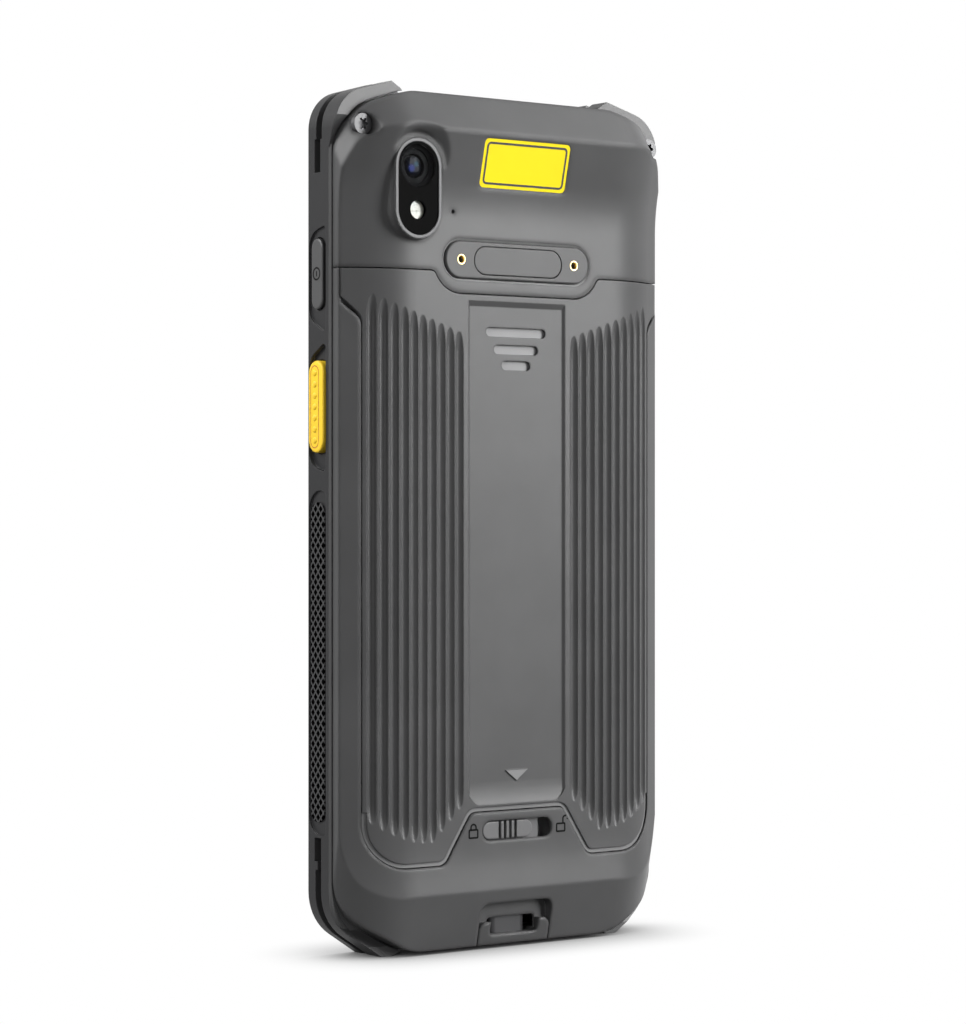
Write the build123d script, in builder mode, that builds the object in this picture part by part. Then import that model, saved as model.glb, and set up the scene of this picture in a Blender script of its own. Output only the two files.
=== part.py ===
from build123d import *

import os
from math import asin, atan, cos, degrees, radians, sin, sqrt, tan

os.makedirs("parts", exist_ok=True)

# A rugged handheld data terminal that stands on its lower bumpers.
# +Z is up, the display looks along -Y, the back with the battery cover looks along +Y.
# All lengths are millimetres, all angles are degrees.

# ---- Body ----
HALF_WIDTH = 38.7  # side faces of the front frame
TOP_FLAT_Z = 162.0  # frame top between the bumpers
TOP_TIP_Z = TOP_FLAT_Z + 2.15  # upper bumper tips
FOOT_RISE = 0.8  # frame bottom above the bumper feet
TIP_X = HALF_WIDTH - 14.7  # inner ends of the bumpers
TIP_SLANT = 2.0  # the ends of the bumpers slope over this width
TIP_STEP = 0.95  # height of an upper bumper's end above the frame top
FOOT_WIDTH = 2.2  # flat foot at each lower bumper tip
TOP_CORNER_Z = TOP_FLAT_Z - 1.4  # where the side meets the top bumper line, before rounding
LOW_CORNER_Z = 6.9
TOP_CORNER_R = 7.6
LOW_CORNER_R = 10.0
FRONT_Y = -8.8  # front lip
SEAM_Y = -0.95  # rear shells sit on the front frame here
SEAM_GROOVE = 0.2
BACK_Y = 5.6  # flat of the back
WALL = 1.7  # rear shells
FRAME_WALL = 2.8

# ---- Rear form ----
SHELL_HALF_WIDTH = HALF_WIDTH - 0.55
SHELL_TOP_Z = TOP_FLAT_Z + 0.2
SHELL_LOW_Z = 0.8
SHELL_TOP_CORNER_Z = TOP_FLAT_Z - 4.2
SHELL_LOW_CORNER_Z = 8.6
SHELL_CORNER_R = 11.0
SHELL_SHOULDER_R = 12.0  # rounding between the end edges and the corner lines
DOOR_X = SHELL_HALF_WIDTH - 3.91  # long edges of the battery cover
FLAT_HALF = DOOR_X - 10.44  # half width of the flat before the shoulders
SHOULDER_R = 22.5
HUMP_Z = TOP_FLAT_Z - 24.0  # the camera hump starts to rise here
HUMP_ANGLE = 13.4
HUMP_BLEND_R = 34.0
SWELL_Z = 20.5  # the lower lip starts to rise here
SWELL_ANGLE = 5.7
SWELL_BLEND_R = 60.0
RIDGE_Z = TOP_FLAT_Z - 7.1  # hump ridge
CREASE_Z = 11.4  # upper edge of the bottom bevel
TOP_BEVEL = 35.0
LOW_BEVEL = 12.0
TOP_BEVEL_FLAT = HALF_WIDTH - 13.7
TOP_BEVEL_R = 12.5
LOW_BEVEL_FLAT = HALF_WIDTH - 14.2
LOW_BEVEL_R = 16.0

# ---- Battery cover ----
PART_Z = TOP_FLAT_Z - 33.4  # line between the upper cover and the battery cover
DIP_Z = PART_Z - 4.1  # the same line below the accessory pad
PAD_Z = PART_Z + 2.3
PAD_HALF = 17.25
PAD_R = 3.6
CONTACT_X = 13.53
DOOR_LOW_Z = 16.9
DOOR_CORNER_R = 8.5
NOTCH_TOP_Z = 26.5
NOTCH_TOP_HALF = 11.0
NOTCH_LOW_HALF = 17.2
EAR_LOW_Z = PART_Z - 8.9  # inner end of the ear's slanted edge
EAR_HALF = SHELL_HALF_WIDTH - 0.15
DOOR_GAP = 0.2
EAR_GAP = 0.55
LINE_GAP = 0.1  # each side of the line at PART_Z
STEP_WIDTH = 0.75  # bright step along the lower edge of the cover
STEP_DEPTH = 0.3
LEDGE_Y = 0.9  # shelf of the rear housing under the cover
SKIRT_WALL = 1.3

# ---- Ribs ----
RIB_PITCH = 2.1
FIRST_GROOVE_X = 13.8
GROOVE_COUNT = int((DOOR_X - 1.5 - FIRST_GROOVE_X) / RIB_PITCH) + 1
GROOVE_R = 1.0
GROOVE_RISE = 0.35  # middle of the round groove above the surface
GROOVE_HIGH_Z = PART_Z - 10.9  # upper end of the first groove
GROOVE_HIGH_RAMP_R = 16.0  # the grooves run out in arcs
GROOVE_LOW_RAMP_R = 9.0

# ---- Battery bay ----
BAY_HALF = DOOR_X - 5.84
BAY_LOW_Z = 32.0
BAY_HIGH_Z = PART_Z - 11.8
BAY_FLOOR_Y = -1.7
BAY_WALL = 1.4
BAY_FLOOR = 0.8
SEAL_IN = BAY_HALF + BAY_WALL
SEAL_WIDTH = 1.7
SEAL_TOP_Y = 2.2
LIP_LOW_Y = 2.4

# ---- Display stack ----
LEDGE_FRONT_Y = -7.4
LEDGE_BACK_Y = -5.8
GLASS_BACK_Y = -7.6
GLASS_T = 0.95
GLASS_HALF = HALF_WIDTH - 2.6
GLASS_LOW_Z = 5.2
GLASS_HIGH_Z = TOP_FLAT_Z - 4.8
GLASS_R = 5.0
SCREEN_HALF = HALF_WIDTH - 5.7
SCREEN_LOW_Z = 13.0
SCREEN_HIGH_Z = TOP_FLAT_Z - 14.0
SCREEN_BACK_Y = -5.95
PLATE_T = 0.9
BOARD_BACK_Y = -3.1
BOARD_T = 0.8

# ---- Side keys ----
KEY_Y = -5.1
KEY_TRAVEL = 0.5
KEY_GAP = 0.25
TRIGGER_Z = TOP_FLAT_Z - 59.1
TRIGGER_LENGTH = 17.2
TRIGGER_WIDTH = 4.9
TRIGGER_PROUD = 0.5
POWER_Z = TOP_FLAT_Z - 34.3
POWER_LENGTH = 13.2
POWER_WIDTH = 3.6
POWER_PROUD = 0.3
KEY_WALL = 0.25  # wall left inside the wide part of a key's hole
KEY_NECK_IN = 1.6  # the neck is this much shorter than the key at each end
KEY_INNER_X = HALF_WIDTH - 3.5
KEY_FLANGE_T = 0.6
KEY_FLANGE_Y = (-6.3, -2.9)
KEY_FLANGE_OVER = 0.8

shoulder_turn = asin((DOOR_X - FLAT_HALF) / SHOULDER_R)
plate_back_y = LEDGE_BACK_Y + PLATE_T
board_front_y = BOARD_BACK_Y - BOARD_T
inner_half = HALF_WIDTH - FRAME_WALL


# ---- Planes and plain shapes ----
def facing(y):
    """Sketch plane parallel to the back: x is +X, y is +Z, it extrudes towards the display."""
    return Plane(origin=(0, y, 0), x_dir=(1, 0, 0), z_dir=(0, -1, 0))


def beside(x):
    """Sketch plane parallel to a side face: x is +Y, y is +Z, it extrudes towards +X."""
    return Plane(origin=(x, 0, 0), x_dir=(0, 1, 0), z_dir=(1, 0, 0))


def block(x_span, y_span, z_span, radius=0.0):
    """Block between the given limits, its corners rounded as seen from the back."""
    width = x_span[1] - x_span[0]
    height = z_span[1] - z_span[0]
    with BuildPart() as piece:
        with BuildSketch(facing(y_span[1])):
            with Locations(((x_span[0] + x_span[1]) / 2, (z_span[0] + z_span[1]) / 2)):
                if radius:
                    RectangleRounded(width, height, radius)
                else:
                    Rectangle(width, height)
        extrude(amount=y_span[1] - y_span[0])
    return piece.part


def disc(x, z, y_span, radius):
    """Round bar along Y."""
    with BuildPart() as piece:
        with BuildSketch(facing(y_span[1])):
            with Locations((x, z)):
                Circle(radius)
        extrude(amount=y_span[1] - y_span[0])
    return piece.part


def pill(x, z, y_span, length, width, rotation=0, taper=0.0):
    """Bar along Y with a stadium section; length is overall."""
    with BuildPart() as piece:
        with BuildSketch(facing(y_span[1])):
            with Locations((x, z)):
                SlotOverall(length, width, rotation=rotation)
        extrude(amount=y_span[1] - y_span[0], taper=taper)
    return piece.part


def side_pill(x_span, y, z, length, width):
    """Bar along X with an upright stadium section."""
    with BuildPart() as piece:
        with BuildSketch(beside(x_span[0])):
            with Locations((y, z)):
                SlotOverall(length, width, rotation=90)
        extrude(amount=x_span[1] - x_span[0])
    return piece.part


def prism(outline, y_span):
    """An outline seen from the back, extruded between two depths."""
    with BuildPart() as piece:
        with BuildSketch(facing(y_span[1])):
            add(outline)
        extrude(amount=y_span[1] - y_span[0])
    return piece.part


def along_x(points, half):
    """Prism along X from (depth, height) points."""
    with BuildPart() as piece:
        with BuildSketch(beside(-half)):
            with BuildLine():
                Polyline(*points, close=True)
            make_face()
        extrude(amount=2 * half)
    return piece.part


def along_z(points, z_span):
    """Prism along Z from (across, depth) points."""
    with BuildPart() as piece:
        with BuildSketch(Plane.XY.offset(z_span[0])):
            with BuildLine():
                Polyline(*points, close=True)
            make_face()
        extrude(amount=z_span[1] - z_span[0])
    return piece.part


def grown(outline, amount):
    """An outline moved outwards, or inwards for a negative amount."""
    with BuildSketch() as result:
        add(outline)
        offset(amount=amount)
    return result.sketch


# ---- Outlines seen from the back ----
foot_x = TIP_X + TIP_SLANT + FOOT_WIDTH
with BuildSketch() as frame_outline:
    with BuildLine():
        right = [
            (0, FOOT_RISE),
            (TIP_X, FOOT_RISE),
            (TIP_X + TIP_SLANT, 0),
            (foot_x, 0),
            (HALF_WIDTH, LOW_CORNER_Z),
            (HALF_WIDTH, TOP_CORNER_Z),
            (TIP_X + TIP_SLANT, TOP_TIP_Z),
            (TIP_X, TOP_FLAT_Z + TIP_STEP),
            (TIP_X - TIP_STEP, TOP_FLAT_Z),
            (0, TOP_FLAT_Z),
        ]
        left = [(-x, z) for x, z in reversed(right[1:-1])]
        Polyline(*right, *left, close=True)
    make_face()
    side_corners = frame_outline.vertices().filter_by(lambda v: abs(v.X) > HALF_WIDTH - 0.1)
    fillet(side_corners.filter_by(lambda v: v.Y > TOP_FLAT_Z / 2), TOP_CORNER_R)
    side_corners = frame_outline.vertices().filter_by(lambda v: abs(v.X) > HALF_WIDTH - 0.1)
    fillet(side_corners.filter_by(lambda v: abs(v.Y - LOW_CORNER_Z) < 0.01), LOW_CORNER_R)

with BuildSketch() as shell_outline:
    with BuildLine():
        corners = [
            (TIP_X, SHELL_LOW_Z),
            (SHELL_HALF_WIDTH, SHELL_LOW_CORNER_Z),
            (SHELL_HALF_WIDTH, SHELL_TOP_CORNER_Z),
            (TIP_X, SHELL_TOP_Z),
        ]
        Polyline(*corners, *[(-x, z) for x, z in reversed(corners)], close=True)
    make_face()
    fillet(shell_outline.vertices().filter_by(lambda v: abs(v.X) > TIP_X + 1), SHELL_CORNER_R)
    fillet(shell_outline.vertices().filter_by(lambda v: abs(abs(v.X) - TIP_X) < 0.01), SHELL_SHOULDER_R)

dip_r = PAD_Z - DIP_Z
dip_x = CONTACT_X + sqrt(dip_r**2 - (PAD_Z - PART_Z) ** 2)
dip_mid = radians(-55)
FAR = 60.0  # reaches past every face of the body
with BuildSketch() as below_line:
    with BuildLine():
        arc_mid = (CONTACT_X + dip_r * cos(dip_mid), PAD_Z + dip_r * sin(dip_mid))
        beyond = [(-FAR, PART_Z), (-FAR, -FAR), (FAR, -FAR), (FAR, PART_Z)]
        Polyline((-dip_x, PART_Z), *beyond, (dip_x, PART_Z))
        ThreePointArc((dip_x, PART_Z), arc_mid, (CONTACT_X, DIP_Z))
        Line((CONTACT_X, DIP_Z), (-CONTACT_X, DIP_Z))
        ThreePointArc((-CONTACT_X, DIP_Z), (-arc_mid[0], arc_mid[1]), (-dip_x, PART_Z))
    make_face()
    fillet(below_line.vertices().filter_by(lambda v: abs(abs(v.X) - dip_x) < 0.01), 1.2)


def door_outline(ear_gap):
    """Outline of the battery cover below the line at PART_Z; ear_gap lowers the slanted ear edges."""
    slant = EAR_HALF - DOOR_X
    with BuildSketch() as outline:
        with BuildLine():
            half = [
                (NOTCH_TOP_HALF, NOTCH_TOP_Z),
                (NOTCH_LOW_HALF, DOOR_LOW_Z),
                (DOOR_X, DOOR_LOW_Z),
                (DOOR_X, EAR_LOW_Z - ear_gap),
                (EAR_HALF, EAR_LOW_Z + slant - 1.6 * ear_gap),
                (EAR_HALF, PART_Z + FAR),
            ]
            Polyline(*half, *[(-x, z) for x, z in reversed(half)], close=True)
        make_face()
        fillet(outline.vertices().filter_by(lambda v: abs(v.Y - NOTCH_TOP_Z) < 0.01), 2.0)
        low = outline.vertices().filter_by(lambda v: abs(v.Y - DOOR_LOW_Z) < 0.01)
        fillet(low.filter_by(lambda v: abs(v.X) > DOOR_X - 1), DOOR_CORNER_R)
        low = outline.vertices().filter_by(lambda v: abs(v.Y - DOOR_LOW_Z) < 0.01)
        fillet(low.filter_by(lambda v: abs(v.X) < NOTCH_LOW_HALF + 1), 2.4)
        ears = outline.vertices().filter_by(lambda v: abs(v.Y - (EAR_LOW_Z - ear_gap)) < 0.01)
        fillet(ears, 3.0)
    return outline.sketch


# ---- Rear form ----
def shoulder_profile(inset, flat_half, radius, end_x, turn):
    """Section across the back at Z = 0: flat, shoulder arcs, then straight slopes out to end_x."""
    r = radius - inset
    top = BACK_Y - inset
    arc_x = flat_half + r * sin(turn)
    arc_y = top - r * (1 - cos(turn))
    mid = (flat_half + r * sin(turn / 2), top - r * (1 - cos(turn / 2)))
    end_y = arc_y - (end_x - arc_x) * tan(turn)
    deep = end_y - 4 * FAR
    with BuildSketch() as section:
        with BuildLine():
            Line((-flat_half, top), (flat_half, top))
            for side in (1, -1):
                ThreePointArc((side * flat_half, top), (side * mid[0], mid[1]), (side * arc_x, arc_y))
                Polyline((side * arc_x, arc_y), (side * end_x, end_y), (side * end_x, deep))
            Line((-end_x, deep), (end_x, deep))
        make_face()
    return section.sketch


def back_surface(inset):
    """Everything in front of the back surface, with the camera hump and the lower swell."""
    middle = (HUMP_Z + SWELL_Z) / 2
    section = shoulder_profile(inset, FLAT_HALF, SHOULDER_R, HALF_WIDTH + 4, shoulder_turn)
    with BuildPart() as form:
        for bend_z, angle, radius, way in (
            (HUMP_Z, HUMP_ANGLE, HUMP_BLEND_R, 1),
            (SWELL_Z, SWELL_ANGLE, SWELL_BLEND_R, -1),
        ):
            a = radians(angle)
            centre = (BACK_Y + radius, bend_z)
            bend = [(centre[0] - radius * cos(t), centre[1] + way * radius * sin(t)) for t in (0, a / 2, a)]
            reach = 24.0
            end = (bend[2][0] + reach * sin(a), bend[2][1] + way * reach * cos(a))
            with BuildLine(Plane.YZ):
                Line((BACK_Y, middle), bend[0])
                ThreePointArc(*bend)
                Line(bend[2], end)
            with BuildSketch(Plane.XY.offset(middle)):
                add(section)
            sweep()
    return form.part


def bevel(inset, z, rise, flat_half, radius, angle, way):
    """Everything in front of an end bevel that starts at height z, way +1 for the top end."""
    a = radians(angle)
    section = shoulder_profile(0, flat_half, radius, FAR, radians(70))
    with BuildPart() as form:
        with BuildSketch(Plane((0, rise - inset / cos(a), z))):
            add(section)
        extrude(amount=4 * FAR, dir=Vector(0, -sin(a), way * cos(a)), both=True)
    return form.part


hump_rise = HUMP_BLEND_R * (1 - cos(radians(HUMP_ANGLE)))
hump_end = HUMP_Z + HUMP_BLEND_R * sin(radians(HUMP_ANGLE))
ridge_rise = hump_rise + (RIDGE_Z - hump_end) * tan(radians(HUMP_ANGLE))
swell_rise = SWELL_BLEND_R * (1 - cos(radians(SWELL_ANGLE)))
swell_end = SWELL_Z - SWELL_BLEND_R * sin(radians(SWELL_ANGLE))
crease_rise = swell_rise + (swell_end - CREASE_Z) * tan(radians(SWELL_ANGLE))


def rear_form(inset):
    """The closed form of the whole back, moved inwards by inset."""
    with BuildPart() as form:
        add(back_surface(inset))
        add(
            bevel(inset, RIDGE_Z, ridge_rise, TOP_BEVEL_FLAT, TOP_BEVEL_R, TOP_BEVEL, 1),
            mode=Mode.INTERSECT,
        )
        add(
            bevel(inset, CREASE_Z, crease_rise, LOW_BEVEL_FLAT, LOW_BEVEL_R, LOW_BEVEL, -1),
            mode=Mode.INTERSECT,
        )
        add(prism(grown(shell_outline.sketch, -inset), (SEAM_Y, FAR)), mode=Mode.INTERSECT)
    return form.part


outer_form = rear_form(0)
inner_form = rear_form(WALL)
below_cover = grown(below_line.sketch, LINE_GAP)
below_upper = grown(below_line.sketch, -LINE_GAP)


# ---- Front frame ----
SLOT_DEPTH = 2.0
SLOT_SIDE_Z = TOP_FLAT_Z - 15.4  # lower end of the upper strap slots
SLOT_STEP_Z = TOP_FLAT_Z - 9.2
SLOT_LOW_Z = 22.5
SLOT_LOW_STEP_Z = 17.3
RAIL_BACK_Y = 0.7  # bumpers reach back this far round the corners
RAIL_TOP_Z = TOP_FLAT_Z - 14.0
RAIL_RISE = 9.0  # length of the sloped start of an upper rail
RAIL_LOW_Z = 8.5
RAIL_LOW_RISE = 6.5
RAIL_GAP = 0.35
PANEL_DEPTH = 0.4
PANEL_FRONT_R = 3.6
PANEL_BACK_R = 0.8
TRIGGER_POCKET = 0.8
frame_cavity = grown(frame_outline.sketch, -FRAME_WALL)
slot_floor = grown(frame_outline.sketch, -SLOT_DEPTH)
UPPER_SCREW_X = HALF_WIDTH - 4.3
UPPER_SCREW_Z = TOP_FLAT_Z - 6.8
UPPER_BOSS_R = 3.0
PLATE_SCREW_X = HALF_WIDTH - 4.4
PLATE_SCREW_ZS = (32.0, TRIGGER_Z - 24.9, TOP_FLAT_Z - 17.0)
WINDOW_Z = (8.0, GLASS_HIGH_Z - 4.2)  # opening of the frame behind the glass
KEY_ROOM_Z = (TRIGGER_Z - 13.9, POWER_Z + 9.3)
SCAN_HALF = 11.0
SCAN_Y = (-4.6, 1.4)


def strap_slots(depths, z_span):
    """Grooves round the corners in the outer wall of the frame, on both sides."""
    ring = prism(frame_outline.sketch, depths) - prism(slot_floor, depths)
    for side in (1, -1):
        xs = sorted((side * (TIP_X + 0.8), side * FAR))
        yield ring & block(xs, depths, z_span)


def side_panel(side, points, depth):
    """Shallow recess in a side face, its outline given as (depth, height) points."""
    with BuildPart() as cut:
        with BuildSketch(beside(side * HALF_WIDTH)):
            with BuildLine():
                Polyline(*points, close=True)
            make_face()
            fillet(vertices().group_by(Axis.X)[0], PANEL_FRONT_R)
            fillet(vertices().group_by(Axis.X)[-1], PANEL_BACK_R)
        extrude(amount=depth, both=True)
    return cut.part


panel_front_y = FRONT_Y + 0.75
panel_back_y = -2.5
with BuildPart() as front_frame:
    add(prism(frame_outline.sketch, (FRONT_Y, SEAM_Y - SEAM_GROOVE)))
    rims = front_frame.edges().group_by(Axis.Y)
    chamfer(rims[0], 0.5)
    chamfer(front_frame.edges().group_by(Axis.Y)[-1], 0.4)
    add(prism(grown(frame_outline.sketch, -1.1), (SEAM_Y - SEAM_GROOVE - 0.5, SEAM_Y)))
    for start, end, beyond in (
        (RAIL_TOP_Z, RAIL_TOP_Z + RAIL_RISE, FAR * 4),
        (RAIL_LOW_Z, RAIL_LOW_Z - RAIL_LOW_RISE, -FAR),
    ):
        rail = prism(frame_outline.sketch, (SEAM_Y - 1.6, RAIL_BACK_Y))
        rail -= prism(grown(shell_outline.sketch, RAIL_GAP), (SEAM_Y, FAR))
        rail_y = SEAM_Y - 1.6
        wedge = along_x(
            ((rail_y, start), (RAIL_BACK_Y, end), (FAR, end), (FAR, beyond), (rail_y, beyond)), FAR
        )
        for side in (1, -1):
            xs = sorted((side * (TIP_X - FOOT_RISE), side * FAR))
            add(rail & wedge & block(xs, (FRONT_Y, FAR), (-FAR, FAR * 4)))
    add(prism(frame_cavity, (LEDGE_BACK_Y, FAR)), mode=Mode.SUBTRACT)
    glass_seat = block(
        (-GLASS_HALF - 0.1, GLASS_HALF + 0.1),
        (FRONT_Y - 1, LEDGE_FRONT_Y),
        (GLASS_LOW_Z - 0.1, GLASS_HIGH_Z + 0.1),
        GLASS_R,
    )
    add(glass_seat, mode=Mode.SUBTRACT)
    window = block((-SCREEN_HALF - 0.3, SCREEN_HALF + 0.3), (FRONT_Y, 0), WINDOW_Z, 3.0)
    add(window, mode=Mode.SUBTRACT)
    for side in (1, -1):
        xs = sorted((side * SCREEN_HALF, side * inner_half))
        add(block(xs, (LEDGE_FRONT_Y + 0.8, 0), KEY_ROOM_Z), mode=Mode.SUBTRACT)
        boss = disc(side * UPPER_SCREW_X, UPPER_SCREW_Z, (LEDGE_BACK_Y - 0.4, SEAM_Y), UPPER_BOSS_R)
        add(boss & prism(grown(frame_outline.sketch, -0.6), (LEDGE_BACK_Y - 1, SEAM_Y)))
        hole = disc(side * UPPER_SCREW_X, UPPER_SCREW_Z, (LEDGE_BACK_Y, FAR), 0.9)
        add(hole, mode=Mode.SUBTRACT)
        for z in PLATE_SCREW_ZS:
            hole = disc(side * PLATE_SCREW_X, z, (LEDGE_BACK_Y - 1.3, 0), 0.7)
            add(hole, mode=Mode.SUBTRACT)
        pocket = [
            (panel_front_y, TRIGGER_Z - 11.0),
            (panel_back_y, TRIGGER_Z - 12.2),
            (panel_back_y, TRIGGER_Z + 12.2),
            (panel_front_y, TRIGGER_Z + 9.0),
        ]
        add(side_panel(side, pocket, TRIGGER_POCKET), mode=Mode.SUBTRACT)
        upper = [
            (panel_front_y, POWER_Z - 8.3),
            (panel_back_y, POWER_Z - 11.2),
            (panel_back_y, POWER_Z + 9.0),
            (panel_front_y, POWER_Z + 7.6),
        ]
        add(side_panel(side, upper, PANEL_DEPTH), mode=Mode.SUBTRACT)
        lower = [
            (panel_front_y, 23.0),
            (panel_back_y, 23.0),
            (panel_back_y, TRIGGER_Z - 16.1),
            (panel_front_y, TRIGGER_Z - 14.0),
        ]
        add(side_panel(side, lower, PANEL_DEPTH), mode=Mode.SUBTRACT)
        wall = sorted((side * (inner_half + KEY_WALL), side * FAR))
        passage = sorted((side * (inner_half - 1), side * (inner_half + 1)))
        for z, length, width in (
            (TRIGGER_Z, TRIGGER_LENGTH, TRIGGER_WIDTH),
            (POWER_Z, POWER_LENGTH, POWER_WIDTH),
        ):
            hole = side_pill(wall, KEY_Y, z, length + 2 * KEY_GAP, width + 2 * KEY_GAP)
            add(hole, mode=Mode.SUBTRACT)
            neck = length / 2 - KEY_NECK_IN + KEY_GAP
            neck_y = (KEY_FLANGE_Y[0] - KEY_GAP, KEY_FLANGE_Y[1] + KEY_GAP)
            add(block(passage, neck_y, (z - neck, z + neck)), mode=Mode.SUBTRACT)
    for depths, z_span in (
        ((-6.2, -4.3), (SLOT_SIDE_Z, SLOT_STEP_Z)),
        ((-5.7, -3.8), (SLOT_STEP_Z - 0.01, FAR * 4)),
        ((-6.2, -4.0), (SLOT_LOW_STEP_Z + 0.8, SLOT_LOW_Z)),
        ((-5.2, -4.0), (SLOT_LOW_STEP_Z - 0.81, SLOT_LOW_STEP_Z + 0.81)),
        ((-5.9, -4.0), (-FAR, SLOT_LOW_STEP_Z - 0.8)),
    ):
        for slot in strap_slots(depths, z_span):
            add(slot, mode=Mode.SUBTRACT)
    scan_notch = block(
        (-SCAN_HALF - 0.1, SCAN_HALF + 0.1), (SCAN_Y[0] - 0.1, FAR), (TOP_FLAT_Z - 4.0, FAR * 4)
    )
    add(scan_notch, mode=Mode.SUBTRACT)
front_frame.part.label = "front_frame"
export_step(front_frame.part, "parts/front_frame.step")


# ---- Display stack ----
EARPIECE_Z = GLASS_HIGH_Z - 4.0
EARPIECE_LENGTH = 14.0
EARPIECE_HEIGHT = 1.4
FRONT_CAMERA_X = 16.0
FRONT_CAMERA_R = 2.0
with BuildPart() as display_glass:
    pane = block(
        (-GLASS_HALF, GLASS_HALF),
        (GLASS_BACK_Y - GLASS_T, GLASS_BACK_Y),
        (GLASS_LOW_Z, GLASS_HIGH_Z),
        GLASS_R,
    )
    add(pane)
    slit = pill(0, EARPIECE_Z, (FRONT_Y, 0), EARPIECE_LENGTH, EARPIECE_HEIGHT)
    add(slit, mode=Mode.SUBTRACT)
display_glass.part.label = "display_glass"
export_step(display_glass.part, "parts/display_glass.step")

with BuildPart() as display_gasket:
    depths = (GLASS_BACK_Y, LEDGE_FRONT_Y)
    rim_z = (GLASS_LOW_Z + 0.3, GLASS_HIGH_Z - 0.3)
    add(block((-GLASS_HALF + 0.4, GLASS_HALF - 0.4), depths, rim_z, GLASS_R))
    gasket_z = (WINDOW_Z[0] - 0.6, WINDOW_Z[1] + 1.6)
    opening = block((-SCREEN_HALF - 0.6, SCREEN_HALF + 0.6), depths, gasket_z, 3.0)
    add(opening, mode=Mode.SUBTRACT)
display_gasket.part.label = "display_gasket"
export_step(display_gasket.part, "parts/display_gasket.step")

with BuildPart() as display_module:
    depths = (GLASS_BACK_Y, SCREEN_BACK_Y)
    add(block((-SCREEN_HALF, SCREEN_HALF), depths, (SCREEN_LOW_Z, SCREEN_HIGH_Z), 0.8))
display_module.part.label = "display_module"
export_step(display_module.part, "parts/display_module.step")

with BuildPart() as earpiece_mesh:
    depths = (GLASS_BACK_Y - 0.7, GLASS_BACK_Y - 0.1)
    add(pill(0, EARPIECE_Z, depths, EARPIECE_LENGTH - 0.1, EARPIECE_HEIGHT - 0.1))
earpiece_mesh.part.label = "earpiece_mesh"
export_step(earpiece_mesh.part, "parts/earpiece_mesh.step")

with BuildPart() as earpiece:
    depths = (GLASS_BACK_Y, LEDGE_BACK_Y - 0.1)
    add(block((-7.5, 7.5), depths, (EARPIECE_Z - 3.0, EARPIECE_Z - 0.3), 0.8))
earpiece.part.label = "earpiece"
export_step(earpiece.part, "parts/earpiece.step")

with BuildPart() as front_camera:
    depths = (GLASS_BACK_Y, LEDGE_BACK_Y - 0.1)
    body_x = (FRONT_CAMERA_X - 2.6, FRONT_CAMERA_X + 2.6)
    body_z = (EARPIECE_Z - 4.8, EARPIECE_Z - 0.4)
    add(block(body_x, (GLASS_BACK_Y + 0.8, depths[1]), body_z, 0.6))
    add(disc(FRONT_CAMERA_X, EARPIECE_Z - 2.6, depths, FRONT_CAMERA_R))
front_camera.part.label = "front_camera"
export_step(front_camera.part, "parts/front_camera.step")

# ---- Chassis plate ----
LOW_SCREW = (HALF_WIDTH - 11.7, 22.6)
HIGH_SCREW = (HALF_WIDTH - 14.7, PART_Z - 6.3)
HOUSING_SCREWS = [(side * x, z) for side in (1, -1) for x, z in (LOW_SCREW, HIGH_SCREW)]
HOUSING_BOSS_R = 2.4
POST_X = HALF_WIDTH - 10.7
SUB_BOARD_HALF = LOW_SCREW[0] - 3.5
LOW_POST = (SUB_BOARD_HALF - 3.5, 12.0)
BOARD_POSTS = ((-POST_X, PART_Z + 7.4), (POST_X, PART_Z - 0.6), (-LOW_POST[0], LOW_POST[1]), LOW_POST)
POST_R = 1.7
KEY_NOTCH_Z = (KEY_ROOM_Z[0] - 1.0, KEY_ROOM_Z[1] + 1.0)
SIDE_BOARD_X = HALF_WIDTH - 5.5
with BuildPart() as chassis_plate:
    depths = (LEDGE_BACK_Y, plate_back_y)
    add(prism(grown(frame_cavity, -0.15), depths))
    for side in (1, -1):
        xs = sorted((side * (SCREEN_HALF - 0.2), side * FAR))
        add(block(xs, depths, KEY_NOTCH_Z), mode=Mode.SUBTRACT)
        corner = disc(side * UPPER_SCREW_X, UPPER_SCREW_Z, depths, UPPER_BOSS_R + 0.2)
        add(corner, mode=Mode.SUBTRACT)
        for z in PLATE_SCREW_ZS:
            add(disc(side * PLATE_SCREW_X, z, depths, 0.85), mode=Mode.SUBTRACT)
    for x, z in HOUSING_SCREWS:
        add(disc(x, z, (plate_back_y, SEAM_Y), HOUSING_BOSS_R))
        add(disc(x, z, (plate_back_y, SEAM_Y), 0.8), mode=Mode.SUBTRACT)
    for x, z in BOARD_POSTS:
        add(disc(x, z, (plate_back_y, board_front_y), POST_R))
chassis_plate.part.label = "chassis_plate"
export_step(chassis_plate.part, "parts/chassis_plate.step")

with BuildPart() as chassis_screws:
    for side in (1, -1):
        for z in PLATE_SCREW_ZS:
            add(disc(side * PLATE_SCREW_X, z, (plate_back_y, plate_back_y + 0.6), 1.3))
            add(disc(side * PLATE_SCREW_X, z, (LEDGE_BACK_Y - 1.1, plate_back_y), 0.65))
chassis_screws.part.label = "chassis_screws"
export_step(chassis_screws.part, "parts/chassis_screws.step")

# ---- Boards ----
BOARD_HALF = HALF_WIDTH - 6.1
BOARD_LOW_Z = BAY_HIGH_Z - 20.8
BOARD_HIGH_Z = TOP_FLAT_Z - 6.0
SUB_BOARD_HIGH_Z = 29.6
CARD_X = (-8.0, 8.0)
CARD_Z = (BAY_HIGH_Z - 18.3, BAY_HIGH_Z - 5.8)
CAN_LOW_Z = BAY_HIGH_Z + 2.7
CAN_HIGH_Z = TOP_FLAT_Z - 21.0

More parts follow.
